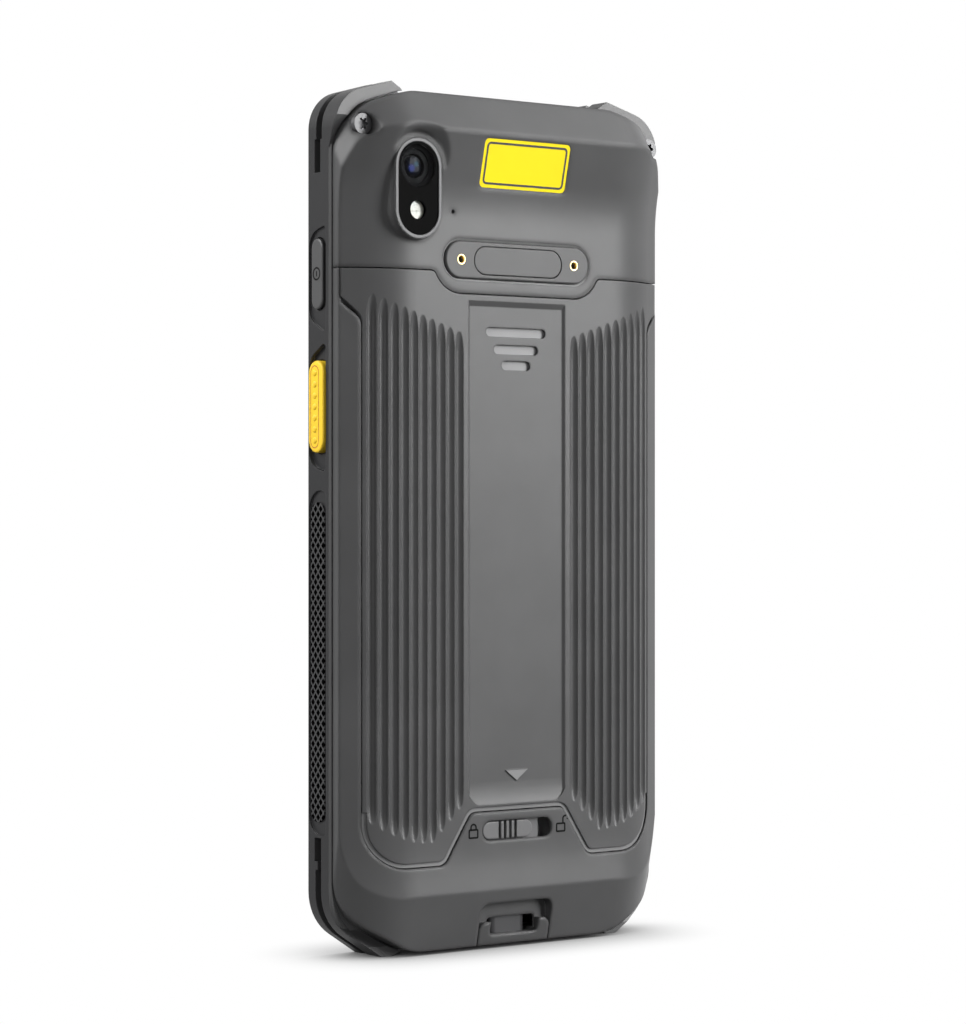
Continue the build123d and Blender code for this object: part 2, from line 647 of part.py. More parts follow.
with BuildPart() as main_board:
    depths = (board_front_y, BOARD_BACK_Y)
    add(block((-BOARD_HALF, BOARD_HALF), depths, (BOARD_LOW_Z, BOARD_HIGH_Z), 3.0))
    for x, z in HOUSING_SCREWS:
        add(disc(x, z, depths, HOUSING_BOSS_R + 0.4), mode=Mode.SUBTRACT)
    for side in (1, -1):
        xs = sorted((side * (BOARD_HALF - 2.8), side * FAR))
        add(block(xs, depths, (BOARD_HIGH_Z - 5.5, FAR * 4)), mode=Mode.SUBTRACT)
main_board.part.label = "main_board"
export_step(main_board.part, "parts/main_board.step")

with BuildPart() as sub_board:
    depths = (board_front_y, BOARD_BACK_Y)
    add(block((-SUB_BOARD_HALF, SUB_BOARD_HALF), depths, (6.4, SUB_BOARD_HIGH_Z), 1.5))
sub_board.part.label = "sub_board"
export_step(sub_board.part, "parts/sub_board.step")

with BuildPart() as flex_cable:
    depths = (BOARD_BACK_Y, BOARD_BACK_Y + 0.25)
    add(block((12.0, 20.0), depths, (SUB_BOARD_HIGH_Z - 3.0, BOARD_LOW_Z + 3.0), 0.5))
flex_cable.part.label = "flex_cable"
export_step(flex_cable.part, "parts/flex_cable.step")

with BuildPart() as shield_cans:
    for xs, zs in (
        ((-18.0, 4.0), (CAN_LOW_Z, CAN_HIGH_Z)),
        ((6.0, 19.0), (CAN_LOW_Z + 5.5, CAN_HIGH_Z)),
    ):
        add(block(xs, (BOARD_BACK_Y, BOARD_BACK_Y + 1.5), zs, 0.8))
        inside = block(
            (xs[0] + 0.2, xs[1] - 0.2), (BOARD_BACK_Y, BOARD_BACK_Y + 1.3), (zs[0] + 0.2, zs[1] - 0.2), 0.6
        )
        add(inside, mode=Mode.SUBTRACT)
shield_cans.part.label = "shield_cans"
export_step(shield_cans.part, "parts/shield_cans.step")

with BuildPart() as card_socket:
    depths = (BOARD_BACK_Y, BAY_FLOOR_Y - 0.05)
    add(block(CARD_X, depths, CARD_Z, 0.5))
    mouth_x = (CARD_X[0] + 1, CARD_X[1] - 1)
    mouth = block(mouth_x, (depths[0] + 0.5, depths[1] - 0.2), (CARD_Z[0] + 1, CARD_Z[1] + 1))
    add(mouth, mode=Mode.SUBTRACT)
card_socket.part.label = "card_socket"
export_step(card_socket.part, "parts/card_socket.step")

# ---- Rear housing ----
LATCH_Z = 22.7
LATCH_TRAVEL = 4.4
KNOB_LENGTH = 12.0
KNOB_HEIGHT = 3.4
KNOB_GAP = 0.2
KNOB_X = LATCH_TRAVEL / 2  # middle of the knob when locked
KNOB_TOP_Y = BACK_Y - 0.2
LATCH_SLOT_LENGTH = KNOB_LENGTH + LATCH_TRAVEL + 2 * KNOB_GAP
LATCH_SLOT_HEIGHT = KNOB_HEIGHT + 2 * KNOB_GAP
LATCH_ROOF_T = 1.0
FLANGE_Z = (19.6, 25.1)
FLANGE_HALF = 8.0
LATCH_POCKET_HALF = 10.45
LATCH_POCKET_Z = (19.4, 25.4)
RETAINER_LOW_HALF = 14.2
RETAINER_LOW_Z = 18.2
RETAINER_T = 0.7
LATCH_FLANGE_T = 1.0
LATCH_GAP = 0.2
PORT_Y = 0.8
PORT_LENGTH = 9.0
PORT_HEIGHT = 3.3
PORT_Z = (2.3, 9.6)
PORT_MOUTH_GAP = 0.25
RECESS_HALF = 8.6
RECESS_TOP_Z = 8.9
RECESS_FLOOR_Y = 3.3
RECESS_WALL = 1.2
INSERT_TOP_Z = 5.2
INSERT_R = 1.7
INSERT_GAP = 0.2
GATE_HALF = 5.8
GATE_Z = (2.7, 5.9)
CONTACT_HALF = 6.0
CONTACT_Z = (30.1, 31.95)
EAR_WALL = 1.0
TONGUE_Z = PART_Z + 2.4
TONGUE_HALF = DOOR_X - 3.24
HOLLOW_HALF = SHELL_HALF_WIDTH - 5.15  # hollow behind the bottom bevel

latch_roof_y = BACK_Y - LATCH_ROOF_T
latch_flange_y = (latch_roof_y - LATCH_GAP - LATCH_FLANGE_T, latch_roof_y - LATCH_GAP)
retainer_y = (latch_flange_y[0] - LATCH_GAP - RETAINER_T, latch_flange_y[0] - LATCH_GAP)
ear_form = rear_form(EAR_WALL)
door_opening = grown(door_outline(EAR_GAP), DOOR_GAP)

with BuildSketch() as retainer_outline:
    with BuildLine():
        Polyline(
            (-LATCH_POCKET_HALF + 0.1, LATCH_POCKET_Z[1] - 0.1),
            (-RETAINER_LOW_HALF, RETAINER_LOW_Z),
            (RETAINER_LOW_HALF, RETAINER_LOW_Z),
            (LATCH_POCKET_HALF - 0.1, LATCH_POCKET_Z[1] - 0.1),
            close=True,
        )
    make_face()
    fillet(vertices(), 0.6)


def standing_pill(y, z_span, length, width):
    """Bar along Z with a stadium section, long side along X."""
    with BuildPart() as piece:
        with BuildSketch(Plane.XY.offset(z_span[0])):
            with Locations((0, y)):
                SlotOverall(length, width)
        extrude(amount=z_span[1] - z_span[0])
    return piece.part


with BuildPart() as rear_housing:
    add(outer_form)
    add(prism(below_upper, (SEAM_Y, FAR)), mode=Mode.INTERSECT)
    add(prism(door_opening, (LEDGE_Y, FAR)), mode=Mode.SUBTRACT)
    tongue = block((-TONGUE_HALF, TONGUE_HALF), (SEAM_Y, LEDGE_Y), (DIP_Z - 1.0, TONGUE_Z))
    add(tongue)
    tub = block(
        (-BAY_HALF - BAY_WALL, BAY_HALF + BAY_WALL),
        (BAY_FLOOR_Y - BAY_FLOOR, SEAM_Y),
        (BAY_LOW_Z - BAY_WALL, BAY_HIGH_Z + BAY_WALL),
        3.0,
    )
    add(tub)
    bay = block((-BAY_HALF, BAY_HALF), (BAY_FLOOR_Y, FAR), (BAY_LOW_Z, BAY_HIGH_Z), 1.8)
    add(bay, mode=Mode.SUBTRACT)
    floor_window = block((CARD_X[0] - 0.6, CARD_X[1] + 0.6), (-3, 0), (CARD_Z[0] - 0.6, CARD_Z[1] + 0.6))
    add(floor_window, mode=Mode.SUBTRACT)
    # hollow behind the bottom bevel, with the charging port's recess standing in it
    low_hollow = block((-HOLLOW_HALF, HOLLOW_HALF), (SEAM_Y, FAR), (3.2, 15.4), 4.0) & inner_form
    add(low_hollow, mode=Mode.SUBTRACT)
    recess_walls = block(
        (-RECESS_HALF - RECESS_WALL, RECESS_HALF + RECESS_WALL),
        (RECESS_FLOOR_Y - 0.7, FAR),
        (SHELL_LOW_Z, RECESS_TOP_Z + RECESS_WALL),
        1.0,
    )
    add(recess_walls & outer_form)
    port_recess = block((-RECESS_HALF, RECESS_HALF), (RECESS_FLOOR_Y, FAR), (-FAR, RECESS_TOP_Z), 1.9)
    add(port_recess, mode=Mode.SUBTRACT)
    gate = block((-GATE_HALF, GATE_HALF), (SEAM_Y, FAR), GATE_Z, 0.9)
    add(gate & block((-FAR, FAR), (PORT_Y, FAR), (0, FAR)), mode=Mode.SUBTRACT)
    port_room = standing_pill(
        PORT_Y, (-1, PORT_Z[1]), PORT_LENGTH + 2 * PORT_MOUTH_GAP, PORT_HEIGHT + 2 * PORT_MOUTH_GAP
    )
    add(port_room, mode=Mode.SUBTRACT)
    # latch pocket, stepped so that the retainer sits on its shelf
    add(prism(grown(retainer_outline.sketch, 0.1), (SEAM_Y, retainer_y[1])), mode=Mode.SUBTRACT)
    pocket_span = (-LATCH_POCKET_HALF, LATCH_POCKET_HALF)
    add(block(pocket_span, (SEAM_Y, latch_roof_y), LATCH_POCKET_Z, 0.8), mode=Mode.SUBTRACT)
    add(pill(0, LATCH_Z, (0, FAR), LATCH_SLOT_LENGTH, LATCH_SLOT_HEIGHT), mode=Mode.SUBTRACT)
    contact_x = (-CONTACT_HALF - 0.1, CONTACT_HALF + 0.1)
    contact_gap = block(contact_x, (-3, 0.3), (CONTACT_Z[0] - 0.1, BAY_LOW_Z + 0.1))
    add(contact_gap, mode=Mode.SUBTRACT)
    for x, z in HOUSING_SCREWS:
        add(disc(x, z, (SEAM_Y, FAR), 1.1), mode=Mode.SUBTRACT)
        add(disc(x, z, (LEDGE_Y - 1.1, FAR), 2.1), mode=Mode.SUBTRACT)
rear_housing.part.label = "rear_housing"
export_step(rear_housing.part, "parts/rear_housing.step")

with BuildPart() as housing_screws:
    for x, z in HOUSING_SCREWS:
        add(disc(x, z, (LEDGE_Y - 1.1, LEDGE_Y - 0.1), 1.9))
        add(disc(x, z, (plate_back_y + 0.3, LEDGE_Y - 0.6), 0.78))
        socket = disc(x, z, (LEDGE_Y - 0.7, LEDGE_Y), 0.75)
        add(socket, mode=Mode.SUBTRACT)
housing_screws.part.label = "housing_screws"
export_step(housing_screws.part, "parts/housing_screws.step")

# ---- Battery and bay ----
BATTERY_GAP = 0.4
BATTERY_TOP_Y = 3.1
with BuildPart() as battery_pack:
    depths = (BAY_FLOOR_Y + 0.1, BATTERY_TOP_Y)
    z_span = (BAY_LOW_Z + BATTERY_GAP, BAY_HIGH_Z - BATTERY_GAP)
    add(block((-BAY_HALF + BATTERY_GAP, BAY_HALF - BATTERY_GAP), depths, z_span, 1.6))
    fillet(battery_pack.edges().group_by(Axis.Y)[-1], 0.8)
battery_pack.part.label = "battery_pack"
export_step(battery_pack.part, "parts/battery_pack.step")

with BuildPart() as battery_pull_tab:
    add(block((-5.0, 5.0), (BATTERY_TOP_Y, BATTERY_TOP_Y + 0.2), (BAY_HIGH_Z - 24.8, BAY_HIGH_Z - 3.8), 1.5))
battery_pull_tab.part.label = "battery_pull_tab"
export_step(battery_pull_tab.part, "parts/battery_pull_tab.step")

with BuildPart() as battery_contacts:
    add(block((-CONTACT_HALF, CONTACT_HALF), (BOARD_BACK_Y, 0.2), CONTACT_Z, 0.4))
    for x in (-4.2, -1.4, 1.4, 4.2):
        slot_high = (CONTACT_Z[1] - 0.3, CONTACT_Z[1])
        add(block((x - 0.8, x + 0.8), (-1.6, 0.2), slot_high), mode=Mode.SUBTRACT)
        add(block((x - 0.5, x + 0.5), (-1.6, -0.2), (CONTACT_Z[1] - 0.35, CONTACT_Z[1] + 0.3), 0.2))
battery_contacts.part.label = "battery_contacts"
export_step(battery_contacts.part, "parts/battery_contacts.step")


def bay_ring(inside, width, y_span):
    """Band round the battery bay."""
    margin = inside - BAY_HALF
    outer = margin + width
    ring = block(
        (-BAY_HALF - outer, BAY_HALF + outer), y_span, (BAY_LOW_Z - outer, BAY_HIGH_Z + outer), 2.0 + outer
    )
    ring -= block(
        (-BAY_HALF - margin, BAY_HALF + margin), y_span, (BAY_LOW_Z - margin, BAY_HIGH_Z + margin), 2.0
    )
    return ring


with BuildPart() as battery_seal:
    add(bay_ring(SEAL_IN, SEAL_WIDTH, (LEDGE_Y, SEAL_TOP_Y)))
battery_seal.part.label = "battery_seal"
export_step(battery_seal.part, "parts/battery_seal.step")

# ---- Battery cover ----
PANEL_HALF = 11.63
PANEL_Z = (27.7, PART_Z - 5.3)
PANEL_FLOOR = 0.45
PANEL_RAMP = 4.2
PANEL_SLOPE = 0.5  # half width of the sloped edges
GRIP_SLOTS = ((PANEL_Z[1] - 5.8, 7.15), (PANEL_Z[1] - 9.1, 5.3), (PANEL_Z[1] - 12.1, 3.45))
GRIP_SLOT_HEIGHT = 1.75
GRIP_SLOT_DEPTH = 0.6
MARK_HALF = 2.65
MARK_Z = (31.9, 34.0)
TAB_X = (21.0, 27.0)
TAB_Z = (PART_Z - 4.0, PART_Z + 1.9)
TAB_Y = (2.2, 3.3)


def rib_groove(x):
    """Round groove between two ribs, running out of the surface in an arc at each end."""
    lean = asin(max(abs(x) - FLAT_HALF, 0) / SHOULDER_R)
    route_x = x + (GROOVE_RISE * sin(lean) if x > 0 else -GROOVE_RISE * sin(lean))
    route_y = BACK_Y - SHOULDER_R * (1 - cos(lean)) + GROOVE_RISE * cos(lean)
    high = GROOVE_HIGH_Z + (abs(x) - FIRST_GROOVE_X) / 3
    if abs(x) < FLAT_HALF - 3.6:
        low = 21.1 + (FLAT_HALF - 3.7 - abs(x)) * 0.95
    else:
        low = 21.1 + ((abs(x) - FLAT_HALF + 3.7) / 12.6) ** 2 * 4.2
    lift = GROOVE_R + 0.15 - GROOVE_RISE
    ends = []
    for z, ramp_r, way in ((low, GROOVE_LOW_RAMP_R, 1), (high, GROOVE_HIGH_RAMP_R, -1)):
        reach = sqrt(2 * ramp_r * lift - lift**2)
        half_turn = asin(reach / ramp_r) / 2
        bend = (route_y + ramp_r * (1 - cos(half_turn)), z + way * (reach - ramp_r * sin(half_turn)))
        ends.append(((route_y + lift, z), bend, (route_y, z + way * reach)))
    with BuildPart() as cut:
        with BuildLine(Plane(origin=(route_x, 0, 0), x_dir=(0, 1, 0), z_dir=(1, 0, 0))) as route:
            ThreePointArc(*ends[0])
            Line(ends[0][2], ends[1][2])
            ThreePointArc(*reversed(ends[1]))
        with BuildSketch(Plane(origin=route.line @ 0, z_dir=route.line % 0)):
            Circle(GROOVE_R)
        sweep()
    return cut.part


outline = door_outline(0)
with BuildSketch() as inside:
    add(grown(outline, -SKIRT_WALL))
    with Locations((0, FAR * 2)):
        Rectangle(2 * (DOOR_X - SKIRT_WALL), FAR)
with BuildSketch() as panel:
    with Locations((0, sum(PANEL_Z) / 2)):
        Rectangle(2 * PANEL_HALF + 1, PANEL_Z[1] - PANEL_Z[0] + 1)
    fillet(panel.vertices().group_by(Axis.Y)[0], 5.0)
    fillet(panel.vertices().group_by(Axis.Y)[-1], 2.0)
panel_floor_y = BACK_Y - PANEL_FLOOR
ramp_r = (PANEL_RAMP**2 + PANEL_FLOOR**2) / (2 * PANEL_FLOOR)
with BuildPart() as panel_profile:
    with BuildSketch(beside(-FAR)):
        with BuildLine():
            ramp_z = PANEL_Z[0] + PANEL_RAMP
            ramp_end = ramp_z - sqrt(ramp_r**2 - (ramp_r - 2 * PANEL_FLOOR) ** 2)
            ramp_mid = PANEL_RAMP / 2
            ramp_bend = (panel_floor_y + ramp_r - sqrt(ramp_r**2 - ramp_mid**2), ramp_z - ramp_mid)
            ThreePointArc((BACK_Y + PANEL_FLOOR, ramp_end), ramp_bend, (panel_floor_y, ramp_z))
            Polyline(
                (panel_floor_y, ramp_z),
                (panel_floor_y, PANEL_Z[1] - 2 * PANEL_SLOPE),
                (BACK_Y + PANEL_FLOOR, PANEL_Z[1] + 2 * PANEL_SLOPE),
                (BACK_Y + PANEL_FLOOR, ramp_end),
            )
        make_face()
    extrude(amount=2 * FAR)

with BuildPart() as battery_cover:
    add(outer_form)
    add(prism(outline, (LEDGE_Y + DOOR_GAP, FAR)), mode=Mode.INTERSECT)
    add(prism(below_upper, (SEAM_Y, FAR)), mode=Mode.INTERSECT)
    lower_inside = prism(inside.sketch, (-FAR, FAR)) & inner_form
    middle = block((-DOOR_X + SKIRT_WALL, DOOR_X - SKIRT_WALL), (-FAR, FAR), (-FAR, FAR * 4))
    add(lower_inside & middle, mode=Mode.SUBTRACT)
    for side in (1, -1):
        xs = sorted((side * (DOOR_X - SKIRT_WALL - 0.01), side * FAR))
        add(block(xs, (-FAR, FAR), (DIP_Z - 5.5, FAR * 4)) & ear_form, mode=Mode.SUBTRACT)
    add(bay_ring(SEAL_IN, SEAL_WIDTH + 0.1, (LIP_LOW_Y, BACK_Y)) & ear_form)
    for side in (1, -1):
        xs = sorted((side * TAB_X[0], side * TAB_X[1]))
        add(block(xs, TAB_Y, TAB_Z, 1.0))
        add(block(xs, (TAB_Y[0], BACK_Y - 1.0), (TAB_Z[0], PART_Z - 0.4), 0.8))
    # bright step along the lower edge
    strip = prism(outline, (0, FAR)) - prism(grown(outline, -STEP_WIDTH), (0, FAR))
    strip &= block((-FAR, FAR), (0, FAR), (0, NOTCH_TOP_Z + 1.0))
    add(strip - rear_form(STEP_DEPTH), mode=Mode.SUBTRACT)
    for step in range(GROOVE_COUNT):
        for side in (1, -1):
            add(rib_groove(side * (FIRST_GROOVE_X + RIB_PITCH * step)), mode=Mode.SUBTRACT)
    # recessed middle panel with sloped edges, its lower end running out in an arc
    across = [
        (-PANEL_HALF + PANEL_SLOPE, panel_floor_y),
        (PANEL_HALF - PANEL_SLOPE, panel_floor_y),
        (PANEL_HALF + PANEL_SLOPE, BACK_Y + PANEL_FLOOR),
        (-PANEL_HALF - PANEL_SLOPE, BACK_Y + PANEL_FLOOR),
    ]
    recess = along_z(across, (0, FAR * 4)) & panel_profile.part & prism(panel.sketch, (0, FAR))
    add(recess, mode=Mode.SUBTRACT)
    for z, half in GRIP_SLOTS:
        depths = (panel_floor_y - GRIP_SLOT_DEPTH, FAR)
        add(pill(0, z, depths, 2 * half, GRIP_SLOT_HEIGHT), mode=Mode.SUBTRACT)
    with BuildSketch(facing(panel_floor_y + 0.25)):
        with BuildLine():
            Polyline((-MARK_HALF, MARK_Z[1]), (MARK_HALF, MARK_Z[1]), (0, MARK_Z[0]), close=True)
        make_face()
    extrude(amount=0.5)
battery_cover.part.label = "battery_cover"
export_step(battery_cover.part, "parts/battery_cover.step")

with BuildPart() as cover_antenna:
    depths = (BACK_Y - WALL - 0.2, BACK_Y - WALL)
    coil_z = (BAY_LOW_Z + 16.0, BAY_HIGH_Z - 18.8)
    add(block((-18.0, 18.0), depths, coil_z, 3.0))
    add(block((-13.0, 13.0), depths, (coil_z[0] + 5.0, coil_z[1] - 5.0), 1.5), mode=Mode.SUBTRACT)
cover_antenna.part.label = "cover_antenna"
export_step(cover_antenna.part, "parts/cover_antenna.step")

# ---- Latch ----
with BuildPart() as latch_slider:
    flange_span = (KNOB_X - FLANGE_HALF, KNOB_X + FLANGE_HALF)
    add(block(flange_span, latch_flange_y, FLANGE_Z, 0.8))
    add(pill(KNOB_X, LATCH_Z, (latch_flange_y[1], KNOB_TOP_Y), KNOB_LENGTH, KNOB_HEIGHT))
    fillet(latch_slider.edges().group_by(Axis.Y)[-1], 0.3)
    for step in range(4):
        x = KNOB_X - 1.9 + 1.25 * step
        groove = block((x - 0.32, x + 0.32), (KNOB_TOP_Y - 0.55, FAR), (LATCH_Z - FAR, LATCH_Z + FAR))
        add(groove, mode=Mode.SUBTRACT)
latch_slider.part.label = "latch_slider"
export_step(latch_slider.part, "parts/latch_slider.step")

with BuildPart() as latch_retainer:
    add(prism(retainer_outline.sketch, retainer_y))
latch_retainer.part.label = "latch_retainer"
export_step(latch_retainer.part, "parts/latch_retainer.step")

# ---- Charging port ----
with BuildPart() as usb_port:
    add(standing_pill(PORT_Y, PORT_Z, PORT_LENGTH, PORT_HEIGHT))
    room = standing_pill(PORT_Y, (PORT_Z[0], PORT_Z[1] - 1.0), PORT_LENGTH - 0.6, PORT_HEIGHT - 0.6)
    add(room, mode=Mode.SUBTRACT)
    foot_half = PORT_LENGTH / 2 - 0.4
    foot = block((-foot_half, foot_half), (BOARD_BACK_Y, PORT_Y - 1.4), (7.0, PORT_Z[1]))
    add(foot)
usb_port.part.label = "usb_port"
export_step(usb_port.part, "parts/usb_port.step")

with BuildPart() as usb_tongue:
    add(block((-3.3, 3.3), (PORT_Y - 0.35, PORT_Y + 0.35), (PORT_Z[0] + 0.7, PORT_Z[1] - 1.0)))
usb_tongue.part.label = "usb_tongue"
export_step(usb_tongue.part, "parts/usb_tongue.step")

with BuildPart() as usb_insert:
    half = RECESS_HALF - INSERT_GAP
    add(block((-half, half), (RECESS_FLOOR_Y, FAR), (-INSERT_TOP_Z, INSERT_TOP_Z), INSERT_R))
    add(outer_form, mode=Mode.INTERSECT)
    add(block((-GATE_HALF, GATE_HALF), (0, FAR), GATE_Z, 0.9), mode=Mode.SUBTRACT)
usb_insert.part.label = "usb_insert"
export_step(usb_insert.part, "parts/usb_insert.step")

# ---- Upper cover ----
CAM_X = HALF_WIDTH - 14.5
CAM_Z = TOP_FLAT_Z - 18.4
CAM_LENGTH = 19.0
CAM_WIDTH = 10.8
CAM_FACE_Y = 6.9
CAM_DRAFT = 8
CAM_FLARE = 50
CAM_FLARE_OUT = 1.0  # the flare starts this far outside the rim
CAM_RIM = 0.15
CAM_RING = 0.6
CAM_RING_Y = 7.0
CAM_GLASS_Y = 6.75
CAM_GLASS_T = 0.8
LENS_Z = CAM_Z + 4.2
FLASH_Z = CAM_Z - 4.0
LENS_RING_R = 4.08
LENS_R = 3.2
FLASH_R = 1.9
PAD_TOP_Y = BACK_Y + 0.3
PAD_FLOOR_Y = BACK_Y - 1.2
PAD_GAP = 0.1
PAD_RIM = 0.35  # chamfer round the pad's pocket
PLUG_LENGTH = 21.2
PLUG_WIDTH = 5.5
CONTACT_R = 1.0
CONTACT_BORE_R = 0.72
LABEL_X = (-10.9, 9.7)
LABEL_Z = (TOP_FLAT_Z - 17.3, TOP_FLAT_Z - 8.1)
LABEL_T = 0.3
MIC_X = 15.3
MIC_Z = TOP_FLAT_Z - 22.2
MIC_R = 0.4
SCREW_BORE_R = 2.2
SCREW_HEAD_R = 1.95
SCREW_SEAT_Y = 2.3
SCREW_HEAD_T = 1.2
SEPTUM_T = 1.2

label_form = rear_form(LABEL_T)
with BuildPart() as label_zone:
    add(block(LABEL_X, (0, FAR), LABEL_Z, 1.0))
    add(label_form, mode=Mode.SUBTRACT)

with BuildPart() as camera_flare:
    with BuildSketch(Plane(origin=(0, CAM_FACE_Y, 0), x_dir=(-1, 0, 0), z_dir=(0, 1, 0))):
        with Locations((-CAM_X, CAM_Z)):
            SlotOverall(CAM_LENGTH + 2 * CAM_FLARE_OUT, CAM_WIDTH + 2 * CAM_FLARE_OUT, rotation=90)
    extrude(amount=3.0, taper=-CAM_FLARE)

with BuildPart() as upper_cover:
    add(outer_form)
    add(prism(below_cover, (-FAR, FAR)), mode=Mode.SUBTRACT)
    add(inner_form, mode=Mode.SUBTRACT)
    septum = block((-FAR, FAR), (SEAM_Y, FAR), (TONGUE_Z, TONGUE_Z + SEPTUM_T)) & inner_form
    add(septum)
    pad_under = pill(0, PAD_Z, (PAD_FLOOR_Y - 0.9, BACK_Y - 0.4), 2 * PAD_HALF + PAD_R, 2 * PAD_R + 3.0)
    pad_under -= prism(below_cover, (-FAR, FAR))
    add(pad_under)
    boss = pill(CAM_X, CAM_Z, (3.4, CAM_FACE_Y), CAM_LENGTH, CAM_WIDTH, rotation=90, taper=-CAM_DRAFT)
    add(boss - rear_form(2.4))
    add(camera_flare.part, mode=Mode.SUBTRACT)
    bore_length = CAM_LENGTH - 2 * CAM_RIM
    bore_width = CAM_WIDTH - 2 * CAM_RIM
    ring_bore = pill(CAM_X, CAM_Z, (CAM_GLASS_Y - CAM_GLASS_T, FAR), bore_length, bore_width, rotation=90)
    add(ring_bore, mode=Mode.SUBTRACT)
    glass_bore = pill(CAM_X, CAM_Z, (0, FAR), CAM_LENGTH - 2.2, CAM_WIDTH - 2.4, rotation=90)
    add(glass_bore, mode=Mode.SUBTRACT)
    pad_pocket = pill(0, PAD_Z, (PAD_FLOOR_Y, FAR), 2 * PAD_HALF, 2 * PAD_R)
    add(pad_pocket, mode=Mode.SUBTRACT)
    rim_length = 2 * (PAD_HALF + PAD_RIM)
    pad_rim = pill(0, PAD_Z, (BACK_Y - PAD_RIM, BACK_Y), rim_length, 2 * (PAD_R + PAD_RIM), taper=45)
    add(pad_rim, mode=Mode.SUBTRACT)
    for side in (1, -1):
        add(disc(side * CONTACT_X, PAD_Z, (0, FAR), CONTACT_R), mode=Mode.SUBTRACT)
        column = disc(side * UPPER_SCREW_X, UPPER_SCREW_Z, (SEAM_Y, FAR), UPPER_BOSS_R)
        add(column & outer_form)
        bore = disc(side * UPPER_SCREW_X, UPPER_SCREW_Z, (SCREW_SEAT_Y, FAR), SCREW_BORE_R)
        add(bore, mode=Mode.SUBTRACT)
        add(disc(side * UPPER_SCREW_X, UPPER_SCREW_Z, (-FAR, FAR), 1.1), mode=Mode.SUBTRACT)
    add(label_zone.part, mode=Mode.SUBTRACT)
    add(disc(MIC_X, MIC_Z, (0, FAR), MIC_R), mode=Mode.SUBTRACT)
    notch = block((-SCAN_HALF - 0.1, SCAN_HALF + 0.1), (-FAR, SCAN_Y[1] + 0.1), (TOP_FLAT_Z - 4.0, FAR * 4))
    add(notch, mode=Mode.SUBTRACT)
upper_cover.part.label = "upper_cover"
export_step(upper_cover.part, "parts/upper_cover.step")

with BuildPart() as upper_cover_screws:
    for side in (1, -1):
        head_y = (SCREW_SEAT_Y, SCREW_SEAT_Y + SCREW_HEAD_T)
        add(disc(side * UPPER_SCREW_X, UPPER_SCREW_Z, head_y, SCREW_HEAD_R))
        add(disc(side * UPPER_SCREW_X, UPPER_SCREW_Z, (LEDGE_BACK_Y + 0.6, SCREW_SEAT_Y), 0.88))
        with BuildSketch(facing(head_y[1])):
            with Locations((side * UPPER_SCREW_X, UPPER_SCREW_Z)):
                Circle(0.85)
                with PolarLocations(0.85, 6):
                    Circle(0.32)
                with PolarLocations(1.12, 6, start_angle=30):
                    Circle(0.33, mode=Mode.SUBTRACT)
        extrude(amount=0.7, mode=Mode.SUBTRACT)
upper_cover_screws.part.label = "upper_cover_screws"
export_step(upper_cover_screws.part, "parts/upper_cover_screws.step")

with BuildPart() as accessory_pad:
    add(pill(0, PAD_Z, (PAD_FLOOR_Y, PAD_TOP_Y), 2 * (PAD_HALF - PAD_GAP), 2 * (PAD_R - PAD_GAP)))
    fillet(accessory_pad.edges().group_by(Axis.Y)[-1], 0.3)
    add(pill(0, PAD_Z, (0, FAR), PLUG_LENGTH, PLUG_WIDTH), mode=Mode.SUBTRACT)
    for side in (1, -1):
        add(disc(side * CONTACT_X, PAD_Z, (0, FAR), CONTACT_R), mode=Mode.SUBTRACT)
accessory_pad.part.label = "accessory_pad"
export_step(accessory_pad.part, "parts/accessory_pad.step")

with BuildPart() as accessory_plug:
    add(pill(0, PAD_Z, (PAD_FLOOR_Y, PAD_TOP_Y), PLUG_LENGTH - 0.2, PLUG_WIDTH - 0.2))
    fillet(accessory_plug.edges().group_by(Axis.Y)[-1], 0.2)
accessory_plug.part.label = "accessory_plug"
export_step(accessory_plug.part, "parts/accessory_plug.step")

with BuildPart() as accessory_contacts:
    for side in (1, -1):
        add(disc(side * CONTACT_X, PAD_Z, (PAD_FLOOR_Y - 1.6, PAD_TOP_Y + 0.05), CONTACT_R))
        bore = disc(side * CONTACT_X, PAD_Z, (PAD_FLOOR_Y - 0.2, FAR), CONTACT_BORE_R)
        add(bore, mode=Mode.SUBTRACT)
accessory_contacts.part.label = "accessory_contacts"
export_step(accessory_contacts.part, "parts/accessory_contacts.step")

with BuildPart() as camera_ring:
    ring_length = CAM_LENGTH - 2 * CAM_RIM - 0.02
    ring_width = CAM_WIDTH - 2 * CAM_RIM - 0.02
    depths = (CAM_GLASS_Y - CAM_GLASS_T, CAM_RING_Y)
    add(pill(CAM_X, CAM_Z, depths, ring_length, ring_width, rotation=90))
    hole = pill(CAM_X, CAM_Z, depths, ring_length - 2 * CAM_RING, ring_width - 2 * CAM_RING, rotation=90)
    add(hole, mode=Mode.SUBTRACT)
camera_ring.part.label = "camera_ring"
export_step(camera_ring.part, "parts/camera_ring.step")

with BuildPart() as camera_window:
    depths = (CAM_GLASS_Y - CAM_GLASS_T, CAM_GLASS_Y)
    window_length = ring_length - 2 * CAM_RING - 0.02
    window_width = ring_width - 2 * CAM_RING - 0.02
    add(pill(CAM_X, CAM_Z, depths, window_length, window_width, rotation=90))
camera_window.part.label = "camera_window"
export_step(camera_window.part, "parts/camera_window.step")

